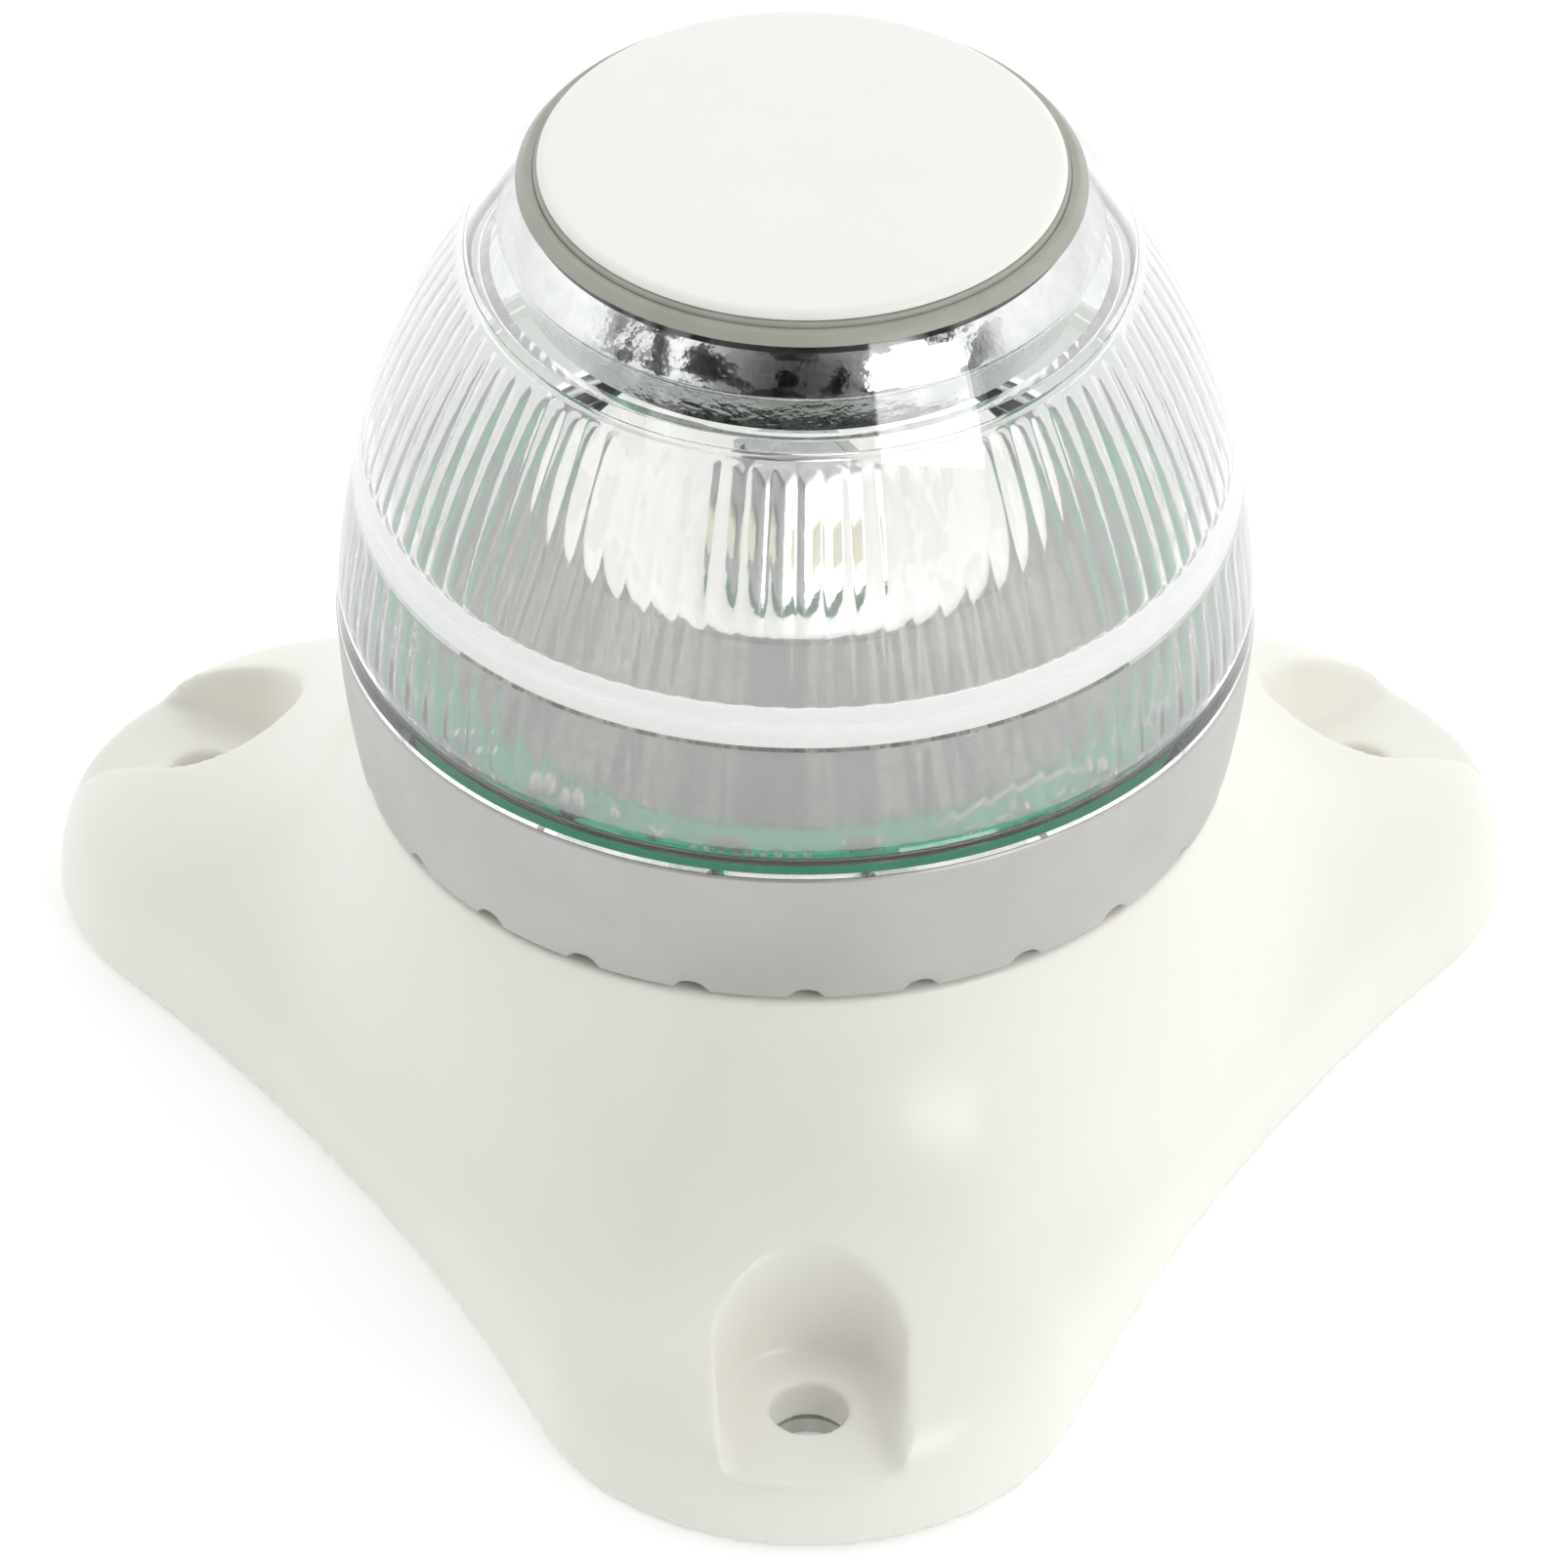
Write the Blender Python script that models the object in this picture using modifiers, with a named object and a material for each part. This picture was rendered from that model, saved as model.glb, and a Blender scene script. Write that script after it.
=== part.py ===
"""Marine all-round navigation light: three-lobed base, quick-thread collar, ribbed lens and LED tower.

Run with blender --background --python part.py, or from Blender's text editor. Metres, +Z up. The
origin is on the light's axis, in the plane of the base's underside, and the front lobe points to -Y.
"""

import math

import bmesh
import bpy
from mathutils import Matrix, Vector

MM = 0.001
GAP = 0.3 * MM
OVER = 1.0 * MM

# Base outline: three tips of radius TIP_R around the screw directions, joined by hollow arcs.
TIP_CENTRE = 37.94 * MM
TIP_R = 19.84 * MM
WAIST_R = 35.99 * MM
LOBES = (-90.0, 30.0, 150.0)
BASE_TOP_R = 30.6 * MM
BASE_TOP_Z = 26.64 * MM
PLATE = 2.6 * MM
WALL = 2.8 * MM
BASE_STEPS = 72

# How the base sweeps down: handle lengths of a cubic curve, at a lobe and at a waist.
SWEEP_OUT = (0.269, 1.0)
SWEEP_DOWN = (20.85 * MM, 28.7 * MM)
SWEEP_EDGE = (15.18 * MM, 10.9 * MM)

# Screw pockets and the fixing holes.
HOLE_CIRCLE_R = 48.42 * MM
HOLE_R = 2.75 * MM
SEAT_Z = 4.8 * MM
POCKET_R = 6.1 * MM
POCKET_R_TOP = 7.4 * MM
POCKET_TOP_Z = 17.0 * MM
BOSS_R = 9.4 * MM
CHANNEL_REACH = 20.0 * MM

# Gasket under the base.
GASKET_T = 1.2 * MM
GASKET_INSET = 1.8 * MM
CABLE_HOLE_R = 7.0 * MM
CABLE_HOLE_Y = -17.0 * MM

# Neck: a cup on the base, with ramps for the collar, a seal groove and the board on its rim.
NECK_R = 27.6 * MM
NECK_BORE_R = 25.0 * MM
NECK_BOTTOM_Z = BASE_TOP_Z + GAP
NECK_FLOOR_Z = 29.4 * MM
NECK_TOP_Z = 35.7 * MM
SEAL_Z = 33.95 * MM
SEAL_R = 0.65 * MM
SEAL_RING_R = 27.3 * MM
NECK_JOIN_R, NECK_MIDDLE_R = 2.0 * MM, 3.0 * MM
GROMMET_Y = 10.0 * MM
GROMMET_R = 3.6 * MM
GROMMET_BORE_R = 2.4 * MM
GROMMET_HEAD_R, GROMMET_HEAD_T = 5.2 * MM, 1.2 * MM

# Screws: circle, head and shank radii, and where each tip ends.
NECK_SCREW_R, NECK_SCREW_HEAD, NECK_SCREW_SHANK = 18.5 * MM, 2.6 * MM, 1.2 * MM
NECK_SCREW_TIP_Z = 22.5 * MM
BOARD_SCREW_R, BOARD_SCREW_HEAD, BOARD_SCREW_SHANK = 19.6 * MM, 2.3 * MM, 1.1 * MM
BOARD_SCREW_TIP_Z = 31.0 * MM
POST_R = 3.2 * MM

# Quick thread: three starts, each a short ramp on the neck over a lug in the collar.
THREAD_LEAD = 36.0 * MM
STARTS = 3
RIB_T = 1.4 * MM
RAMP_Z = 27.9 * MM
RAMP_SPAN = 36.0
RAMP_R = 29.0 * MM
LUG_R = 28.2 * MM
LUG_FROM, LUG_TO = 12.0, 34.0

# Collar.
COLLAR_BOTTOM_R, COLLAR_TOP_R = 30.9 * MM, 32.4 * MM
COLLAR_BOTTOM_Z, COLLAR_TOP_Z = 26.94 * MM, 38.58 * MM
COLLAR_BULGE = 0.25 * MM
COLLAR_THREAD_R = 29.4 * MM
COLLAR_LIP_T, COLLAR_LIP_H = 0.6 * MM, 1.0 * MM
NOTCHES = 24
NOTCH_W, NOTCH_H = 2.1 * MM, 0.7 * MM

# Lens: the outside is one arc that starts upright just above its own centre height.
LENS_ARC_R = 60.0 * MM
LENS_ARC_X = -27.65 * MM
LENS_ARC_Z = 38.0 * MM
LENS_T = 2.4 * MM
LENS_THIN_T = 1.1 * MM
LENS_LEDGE_Z = 68.8 * MM
LENS_BOTTOM_Z = COLLAR_TOP_Z + GAP
LENS_FOOT_Z = 38.0 * MM
LENS_RIM_Z = 75.4 * MM
SEAT_OUT_R = COLLAR_TOP_R - COLLAR_LIP_T - GAP
SEAT_BOTTOM_Z = COLLAR_TOP_Z - COLLAR_LIP_H + GAP
SKIRT_IN_R, SKIRT_OUT_R = 28.4 * MM, 30.2 * MM
SKIRT_TIP_R = 29.1 * MM
SKIRT_BOTTOM_Z = 33.4 * MM
FLANGE_R = 31.0 * MM
FLANGE_Z = (35.2 * MM, 36.3 * MM)
KEY_W, KEY_DEPTH = 4.0 * MM, 2.0 * MM

# Cap: a disc inside the lens rim, with a stem that is bonded into the hub of the top reflector.
CAP_R = 18.6 * MM
CAP_TOP_Z = 77.0 * MM
CAP_UNDER_Z = 74.1 * MM
CAP_CROWN = ((6.0 * MM, 76.94 * MM), (12.0 * MM, 76.75 * MM))
CAP_EDGE = ((17.4 * MM, 76.4 * MM), (18.3 * MM, 76.15 * MM), (18.6 * MM, 75.7 * MM))
CAP_STEM_R = 5.0 * MM
CAP_STEM_Z = 59.0 * MM
CAP_SEAL_R = (15.0 * MM, 17.2 * MM)

# Top reflector: a band that follows the lens, turns inwards at its widest ring and runs to a tip.
CONE_TOP_Z = 73.5 * MM
CONE_BAND = ((18.9 * MM, 73.5 * MM), (19.65 * MM, 72.5 * MM), (20.65 * MM, 71.1 * MM))
CONE_TURN = (19.5 * MM, 67.5 * MM)
CONE_TIP_R, CONE_TIP_Z = 2.0 * MM, 54.5 * MM
CONE_T = 1.0 * MM
HUB_Z = (58.5 * MM, 64.6 * MM)

# Lower reflector: a crater whose outer cone rises from the board.
CRATER_FOOT_R = 24.8 * MM
CRATER_RIM_R, CRATER_RIM_Z = 17.0 * MM, 48.0 * MM
CRATER_OUTSIDE = ((18.9 * MM, 45.2 * MM), (21.6 * MM, 41.4 * MM))
CRATER_UNDERSIDE = (
    (20.8 * MM, 40.9 * MM), (17.9 * MM, 44.8 * MM), (16.4 * MM, 46.2 * MM), (13.0 * MM, 42.4 * MM)
)
CRATER_INSIDE = ((12.6 * MM, 43.3 * MM), (15.6 * MM, 46.9 * MM))
CRATER_MOUTH_R = 5.7 * MM
CRATER_MOUTH_Z = (39.4 * MM, 40.4 * MM)
CRATER_T = 1.2 * MM

# Circuit board and the lamp on it.
BOARD_R = 28.0 * MM
BOARD_Z = (36.0 * MM, 37.6 * MM)
BOARD_HOLE_R = 1.5 * MM
TOWER_W = 5.6 * MM
TOWER_TURN = 33.0
TOWER_Z = (BOARD_Z[1] + GAP, 51.8 * MM)
LED_BOARD_T = 0.8 * MM
LED_BOARD_Z = (41.4 * MM, 51.2 * MM)
LED_W, LED_H, LED_T = 3.0 * MM, 3.6 * MM, 0.9 * MM

# Driver parts under the board: place (x, y) and size.
CAPACITOR_AT, CAPACITOR_R, CAPACITOR_H = (-9.0 * MM, 3.0 * MM), 3.1 * MM, 4.6 * MM
INDUCTOR_AT = (9.0 * MM, 2.0 * MM, 0.0)
INDUCTOR_R, INDUCTOR_WAIST_R = 3.6 * MM, 2.6 * MM
INDUCTOR_FLANGE_T, INDUCTOR_H = 0.8 * MM, 4.2 * MM
CHIP_AT, CHIP_SIZE = (0.0, -2.0 * MM), (5.0 * MM, 4.0 * MM, 1.5 * MM)
DIODE_AT, DIODE_SIZE = (-4.0 * MM, -9.0 * MM), (4.4 * MM, 2.6 * MM, 2.1 * MM)

# Terminal block under the base's top plate, and the leads to it.
TERMINAL_SIZE = (16.0 * MM, 10.0 * MM, 8.0 * MM)
TERMINAL_Y = -3.0 * MM
TERMINAL_POLE_X = 3.8 * MM
WIRE_WAY_R, SCREW_WAY_R, TERMINAL_SCREW_R = 1.4 * MM, 1.7 * MM, 1.4 * MM
LEAD_R = 0.7 * MM

# Finish of each material: colour, roughness, metallic.
FINISHES = {
    "white_plastic": ((0.84, 0.84, 0.82), 0.32, 0.0),
    "clear_plastic": ((0.85, 0.90, 0.89), 0.05, 0.0),
    "satin_steel": ((0.52, 0.52, 0.53), 0.32, 1.0),
    "chrome": ((0.80, 0.81, 0.82), 0.06, 1.0),
    "silvered_plastic": ((0.72, 0.71, 0.68), 0.25, 0.9),
    "board_green": ((0.05, 0.26, 0.12), 0.40, 0.0),
    "led_board_white": ((0.82, 0.82, 0.80), 0.45, 0.0),
    "led_phosphor": ((0.90, 0.87, 0.68), 0.35, 0.0),
    "aluminium": ((0.66, 0.67, 0.69), 0.38, 1.0),
    "screw_steel": ((0.60, 0.60, 0.61), 0.30, 1.0),
    "black_rubber": ((0.025, 0.025, 0.027), 0.75, 0.0),
    "foam": ((0.67, 0.67, 0.65), 0.90, 0.0),
    "black_plastic": ((0.03, 0.03, 0.032), 0.45, 0.0),
    "grey_plastic": ((0.35, 0.36, 0.37), 0.50, 0.0),
    "red_insulation": ((0.55, 0.02, 0.02), 0.45, 0.0),
    "black_insulation": ((0.02, 0.02, 0.02), 0.45, 0.0),
}


def clear_scene():
    for obj in list(bpy.data.objects):
        bpy.data.objects.remove(obj, do_unlink=True)


def make_collection(name, hidden=False):
    collection = bpy.data.collections.new(name)
    bpy.context.scene.collection.children.link(collection)
    collection.hide_render = hidden
    return collection


def make_material(name):
    colour, roughness, metallic = FINISHES[name]
    material = bpy.data.materials.get(name)
    if material is None:
        material = bpy.data.materials.new(name)
        material.use_nodes = True
        shader = material.node_tree.nodes["Principled BSDF"]
        shader.inputs["Base Color"].default_value = (*colour, 1.0)
        shader.inputs["Roughness"].default_value = roughness
        shader.inputs["Metallic"].default_value = metallic
    return material


def add_object(name, data, finish=None):
    """Finishes a sub-part when a finish is given, and makes a hidden cutter otherwise."""
    obj = bpy.data.objects.new(name, data)
    if finish is None:
        CUTTERS.objects.link(obj)
        obj.hide_render = True
        obj.display_type = "WIRE"
    else:
        PARTS.objects.link(obj)
        data.materials.append(make_material(finish))
    return obj


def mesh_of(name, bm, smooth=True):
    bmesh.ops.recalc_face_normals(bm, faces=bm.faces)
    mesh = bpy.data.meshes.new(name)
    bm.to_mesh(mesh)
    bm.free()
    if smooth:
        mesh.shade_smooth()
        mesh.set_sharp_from_angle(angle=math.radians(35))
    return mesh


def boolean(obj, cutter, operation="DIFFERENCE"):
    modifier = obj.modifiers.new(cutter.name, "BOOLEAN")
    modifier.operation = operation
    modifier.solver = "EXACT"
    modifier.object = cutter
    return modifier


def turned(name, profile, finish=None, steps=48, closed=True, at=(0, 0, 0)):
    """Screw of an (r, z) profile that runs down its outer side. An open one starts and ends on the axis."""
    bm = bmesh.new()
    points = [bm.verts.new((r, 0, z)) for r, z in profile]
    for a, b in zip(points, points[1:]):
        bm.edges.new((a, b))
    if closed:
        bm.edges.new((points[-1], points[0]))
    mesh = bpy.data.meshes.new(name)
    bm.to_mesh(mesh)
    bm.free()
    obj = add_object(name, mesh, finish)
    obj.location = at
    screw = obj.modifiers.new("turn", "SCREW")
    screw.steps = screw.render_steps = steps
    screw.use_merge_vertices = True
    screw.merge_threshold = 1e-6
    screw.use_smooth_shade = True
    return obj


def box(name, size, centre, finish=None, bevel=0.0, turn=0.0):
    bm = bmesh.new()
    bmesh.ops.create_cube(bm, size=1.0)
    bmesh.ops.scale(bm, vec=size, verts=bm.verts)
    obj = add_object(name, mesh_of(name, bm, smooth=False), finish)
    obj.location = centre
    obj.rotation_euler.z = math.radians(turn)
    if bevel:
        rounding = obj.modifiers.new("edges", "BEVEL")
        rounding.width = bevel
        rounding.segments = 1
    return obj


def cylinder(name, radius, low, high, at=(0, 0), finish=None, steps=32):
    bm = bmesh.new()
    bmesh.ops.create_cone(
        bm, cap_ends=True, segments=steps, depth=high - low, radius1=radius, radius2=radius
    )
    obj = add_object(name, mesh_of(name, bm), finish)
    obj.location = (at[0], at[1], (low + high) / 2)
    return obj


def polar(radius, degrees):
    return (radius * math.cos(math.radians(degrees)), radius * math.sin(math.radians(degrees)))


def from_lobe(degrees):
    return min(abs((degrees - lobe + 180) % 360 - 180) for lobe in LOBES)


def outline_radius(degrees, inset=0.0):
    """Distance from the axis to the base outline in one direction, moved inwards by inset."""
    off = math.radians(from_lobe(degrees))
    half = math.radians(60)
    rho = TIP_CENTRE**2 + WAIST_R**2 - TIP_CENTRE * WAIST_R - TIP_R**2
    rho /= 2 * TIP_R + TIP_CENTRE - 2 * WAIST_R
    hollow = WAIST_R + rho
    tip = Vector((TIP_CENTRE, 0))
    centre = Vector((hollow * math.cos(half), hollow * math.sin(half)))
    meeting = tip + (centre - tip).normalized() * (TIP_R - inset)
    if off < math.atan2(meeting.y, meeting.x):
        across = TIP_CENTRE * math.sin(off)
        return TIP_CENTRE * math.cos(off) + math.sqrt((TIP_R - inset) ** 2 - across**2)
    across = hollow * math.sin(half - off)
    return hollow * math.cos(half - off) - math.sqrt((rho + inset) ** 2 - across**2)


def sweep_point(t, degrees, top_r, top_z, inset=0.0):
    """Point at t = 0 (top rim) to 1 (foot) of the base's side in one direction."""
    lobe = (1 + math.cos(math.radians(3 * from_lobe(degrees)))) / 2
    out = SWEEP_OUT[1] + (SWEEP_OUT[0] - SWEEP_OUT[1]) * lobe
    down = SWEEP_DOWN[1] + (SWEEP_DOWN[0] - SWEEP_DOWN[1]) * lobe
    edge = SWEEP_EDGE[1] + (SWEEP_EDGE[0] - SWEEP_EDGE[1]) * lobe
    foot = outline_radius(degrees, inset)
    reach = foot - top_r
    radii = (top_r, top_r + out * reach, foot, foot)
    heights = (BASE_TOP_Z, BASE_TOP_Z - down, edge, 0.0)
    weights = ((1 - t) ** 3, 3 * (1 - t) ** 2 * t, 3 * (1 - t) * t * t, t**3)
    radius = sum(w * r for w, r in zip(weights, radii))
    height = sum(w * z for w, z in zip(weights, heights)) * top_z / BASE_TOP_Z
    return radius, height


def lofted(name, rings, finish=None):
    """Closed body through rings of equal point counts, from top to bottom."""
    bm = bmesh.new()
    rows = [[bm.verts.new(point) for point in ring] for ring in rings]
    count = len(rows[0])
    for upper, lower in zip(rows, rows[1:]):
        for i in range(count):
            j = (i + 1) % count
            bm.faces.new((upper[i], lower[i], lower[j], upper[j]))
    bm.faces.new(rows[0])
    bm.faces.new(rows[-1][::-1])
    return add_object(name, mesh_of(name, bm), finish)


def swept_body(name, finish=None, inset=0.0, top_r=BASE_TOP_R, top_z=BASE_TOP_Z, foot_z=0.0, rings=6):
    directions = [i * 360 / BASE_STEPS for i in range(BASE_STEPS)]
    rows = []
    for step in range(rings + 1):
        row = []
        for degrees in directions:
            radius, height = sweep_point(step / rings, degrees, top_r, top_z, inset)
            row.append((*polar(radius, degrees), height + foot_z))
        rows.append(row)
    return lofted(name, rows, finish)


def trilobe_plate(name, inset, low, high, finish=None):
    directions = [i * 360 / BASE_STEPS for i in range(BASE_STEPS)]
    rows = [
        [(*polar(outline_radius(d, inset), d), z) for d in directions]
        for z in (high, low)
    ]
    return lofted(name, rows, finish)


def channel(name, lobe, radius, top_radius, low, high):
    """Upright round cutter at a screw hole that widens upwards and runs out past the lobe's edge."""
    bm = bmesh.new()
    arc = [90 + i * 180 / 16 for i in range(17)]
    rows = []
    for r, z in ((top_radius, high), (radius, low)):
        row = [(r * math.cos(math.radians(a)), r * math.sin(math.radians(a)), z) for a in arc]
        rows.append([(CHANNEL_REACH, r, z), *row, (CHANNEL_REACH, -r, z)])
    rows = [[bm.verts.new(point) for point in row] for row in rows]
    count = len(rows[0])
    for i in range(count):
        j = (i + 1) % count
        bm.faces.new((rows[0][i], rows[1][i], rows[1][j], rows[0][j]))
    bm.faces.new(rows[0])
    bm.faces.new(rows[1][::-1])
    obj = add_object(name, mesh_of(name, bm, smooth=False))
    obj.location = (*polar(HOLE_CIRCLE_R, lobe), 0)
    obj.rotation_euler.z = math.radians(lobe)
    return obj


def make_base():
    base = swept_body("mounting_base", "white_plastic")
    chamber = swept_body(
        "cut_chamber", inset=WALL, top_r=BASE_TOP_R - WALL, top_z=BASE_TOP_Z - PLATE - GASKET_T,
        foot_z=GASKET_T, rings=4,
    )
    for number, lobe in enumerate(LOBES, 1):
        boss = channel(f"keep_boss_{number}", lobe, BOSS_R, BOSS_R, -OVER, BASE_TOP_Z)
        boolean(chamber, boss)
    boolean(base, trilobe_plate("cut_gasket_seat", GASKET_INSET - GAP, -OVER, GASKET_T + GAP))
    boolean(base, chamber).use_self = True
    for number, lobe in enumerate(LOBES, 1):
        pocket = channel(f"cut_pocket_{number}", lobe, POCKET_R, POCKET_R_TOP, SEAT_Z, POCKET_TOP_Z)
        boolean(base, pocket)
        hole = cylinder(f"cut_hole_{number}", HOLE_R, -OVER, 2 * SEAT_Z, polar(HOLE_CIRCLE_R, lobe))
        boolean(base, hole)
        pilot = cylinder(
            f"cut_pilot_{number}", NECK_SCREW_SHANK + GAP, BASE_TOP_Z - 3 * PLATE, BASE_TOP_Z + OVER,
            polar(NECK_SCREW_R, lobe), steps=16,
        )
        boolean(base, pilot)
    cable = cylinder(
        "cut_base_cable", GROMMET_R + GAP, BASE_TOP_Z - 3 * PLATE, BASE_TOP_Z + OVER, (0, GROMMET_Y)
    )
    boolean(base, cable)
    return base


def make_gasket():
    gasket = trilobe_plate("deck_gasket", GASKET_INSET, 0.0, GASKET_T, "foam")
    for number, lobe in enumerate(LOBES, 1):
        boolean(gasket, cylinder(
            f"cut_gasket_hole_{number}", HOLE_R + GAP, -OVER, GASKET_T + OVER,
            polar(HOLE_CIRCLE_R, lobe), steps=24,
        ))
    boolean(gasket, cylinder(
        "cut_gasket_cable", CABLE_HOLE_R, -OVER, GASKET_T + OVER, (0, CABLE_HOLE_Y)
    ))
    return gasket


def helical_rib(name, r_in, r_out, low_z, start, end):
    """Rib of square section that climbs with the thread from one angle to another."""
    count = max(2, round((end - start) / 4))
    rings = []
    for i in range(count + 1):
        degrees = start + (end - start) * i / count
        z = low_z + THREAD_LEAD * (degrees - start) / 360
        rings.append([
            (*polar(r_in, degrees), z), (*polar(r_out, degrees), z),
            (*polar(r_out, degrees), z + RIB_T), (*polar(r_in, degrees), z + RIB_T),
        ])
    return lofted(name, rings)


def make_neck():
    groove_low, groove_high = SEAL_Z - SEAL_R - GAP, SEAL_Z + SEAL_R + GAP
    groove_r = SEAL_RING_R - SEAL_R - GAP
    neck = turned("threaded_neck", [
        (NECK_R, NECK_TOP_Z), (NECK_R, groove_high), (groove_r, groove_high),
        (groove_r, groove_low), (NECK_R, groove_low), (NECK_R, NECK_BOTTOM_Z),
        (NECK_JOIN_R, NECK_BOTTOM_Z), (NECK_JOIN_R, NECK_FLOOR_Z),
        (NECK_BORE_R, NECK_FLOOR_Z), (NECK_BORE_R, NECK_TOP_Z),
    ], "white_plastic", steps=40)
    middle = cylinder("join_neck_middle", NECK_MIDDLE_R, NECK_BOTTOM_Z, NECK_FLOOR_Z)
    boolean(neck, middle, "UNION")
    for number in range(STARTS):
        turn = 120 * number
        ramp = helical_rib(
            f"join_ramp_{number}", NECK_R - OVER / 2, RAMP_R, RAMP_Z, turn, turn + RAMP_SPAN
        )
        boolean(neck, ramp, "UNION")
        spot = polar(BOARD_SCREW_R, LOBES[number] + 60)
        boolean(neck, cylinder(
            f"join_post_{number}", POST_R, NECK_FLOOR_Z - OVER, NECK_TOP_Z, spot, steps=20
        ), "UNION")
        boolean(neck, cylinder(
            f"cut_post_{number}", BOARD_SCREW_SHANK + GAP, NECK_FLOOR_Z + OVER / 2, NECK_TOP_Z + OVER,
            spot, steps=16,
        ))
        boolean(neck, cylinder(
            f"cut_neck_screw_{number}", NECK_SCREW_SHANK + OVER / 2, NECK_BOTTOM_Z - OVER,
            NECK_FLOOR_Z + OVER,
            polar(NECK_SCREW_R, LOBES[number]), steps=16,
        ))
    boolean(neck, cylinder(
        "cut_neck_cable", GROMMET_R + GAP, NECK_BOTTOM_Z - OVER, NECK_FLOOR_Z + OVER, (0, GROMMET_Y)
    ))
    return neck


def pan_screw(name, at, seat_z, tip_z, head_r, shank_r):
    """Pan-head screw, upright, with its head resting just above seat_z."""
    under = seat_z + GAP
    top = under + 0.8 * head_r
    return turned(name, [
        (0, top), (0.6 * head_r, top - 0.05 * head_r), (0.92 * head_r, top - 0.3 * head_r),
        (head_r, under), (shank_r, under), (shank_r, tip_z + shank_r), (0, tip_z),
    ], "screw_steel", steps=12, closed=False, at=(*at, 0))


def torus_ring(name, ring_r, tube_r, z, finish):
    """Round seal whose hexagonal section runs clockwise, so that the outside faces out."""
    sides = 6
    angles = [-2 * math.pi * i / sides for i in range(sides)]
    profile = [(ring_r + tube_r * math.cos(a), z + tube_r * math.sin(a)) for a in angles]
    return turned(name, profile, finish, steps=32)


def make_grommet():
    top = NECK_FLOOR_Z + GAP
    bottom = BASE_TOP_Z - PLATE - OVER
    return turned("cable_grommet", [
        (GROMMET_R - GAP, top + GROMMET_HEAD_T), (GROMMET_HEAD_R - GAP, top + GROMMET_HEAD_T - GAP),
        (GROMMET_HEAD_R, top), (GROMMET_R, top), (GROMMET_R, bottom), (GROMMET_BORE_R, bottom),
        (GROMMET_BORE_R, top + GROMMET_HEAD_T),
    ], "black_rubber", steps=24, at=(0, GROMMET_Y, 0))


def make_collar():
    wall = []
    steps = 6
    for i in range(steps + 1):
        t = i / steps
        radius = COLLAR_TOP_R + (COLLAR_BOTTOM_R - COLLAR_TOP_R) * t
        radius += COLLAR_BULGE * math.sin(math.pi * t)
        wall.append((radius, COLLAR_TOP_Z + (COLLAR_BOTTOM_Z - COLLAR_TOP_Z) * t))
    edge = 0.35 * MM
    outer = [(COLLAR_TOP_R - edge, COLLAR_TOP_Z), (COLLAR_TOP_R, COLLAR_TOP_Z - edge), *wall[1:]]
    inner = [
        (COLLAR_THREAD_R, COLLAR_BOTTOM_Z), (COLLAR_THREAD_R, FLANGE_Z[0] - 0.8 * MM),
        (FLANGE_R + GAP, FLANGE_Z[0] - GAP), (FLANGE_R + GAP, FLANGE_Z[1] + GAP),
        (SKIRT_OUT_R + GAP, FLANGE_Z[1] + GAP), (SKIRT_OUT_R + GAP, COLLAR_TOP_Z - COLLAR_LIP_H),
        (COLLAR_TOP_R - COLLAR_LIP_T, COLLAR_TOP_Z - COLLAR_LIP_H),
        (COLLAR_TOP_R - COLLAR_LIP_T, COLLAR_TOP_Z),
    ]
    collar = turned("collar_ring", [*outer, *inner], "satin_steel", steps=48)
    for number in range(STARTS):
        turn = 120 * number
        low = RAMP_Z - GAP - RIB_T + THREAD_LEAD * LUG_FROM / 360
        lug = helical_rib(
            f"join_lug_{number}", LUG_R, COLLAR_THREAD_R + OVER / 2, low, turn + LUG_FROM, turn + LUG_TO
        )
        boolean(collar, lug, "UNION")
    notch = notch_crown()
    boolean(collar, notch)
    return collar


def notch_crown():
    """One body that holds all the arc-shaped notches of the collar's lower edge."""
    notch_r = (NOTCH_W**2 / 4 + NOTCH_H**2) / (2 * NOTCH_H)
    centre_z = COLLAR_BOTTOM_Z + NOTCH_H - notch_r
    inside, outside = COLLAR_BOTTOM_R - 0.7 * MM, COLLAR_BOTTOM_R + OVER
    crown = turned("cut_notches", [
        (outside + 2 * OVER, COLLAR_BOTTOM_Z - OVER), (outside + 2 * OVER, COLLAR_BOTTOM_Z - 2 * OVER),
        (inside, COLLAR_BOTTOM_Z - 2 * OVER), (inside, COLLAR_BOTTOM_Z - OVER),
    ], steps=48)
    for number in range(NOTCHES):
        direction = 360 * number / NOTCHES - 90
        bm = bmesh.new()
        bmesh.ops.create_cone(
            bm, cap_ends=True, segments=12, depth=outside - inside, radius1=notch_r, radius2=notch_r
        )
        bmesh.ops.rotate(bm, verts=bm.verts, matrix=Matrix.Rotation(math.radians(90), 3, "Y"))
        tooth = add_object(f"join_notch_{number}", mesh_of("notch", bm, smooth=False))
        tooth.location = (*polar((inside + outside) / 2, direction), centre_z)
        tooth.rotation_euler.z = math.radians(direction)
        boolean(crown, tooth, "UNION")
    return crown


def lens_radius(z, inset=0.0):
    return LENS_ARC_X + math.sqrt((LENS_ARC_R - inset) ** 2 - (z - LENS_ARC_Z) ** 2)


def arc_points(low, high, steps, inset=0.0):
    heights = [low + (high - low) * i / steps for i in range(steps + 1)]
    return [(lens_radius(z, inset), z) for z in heights]


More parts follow.
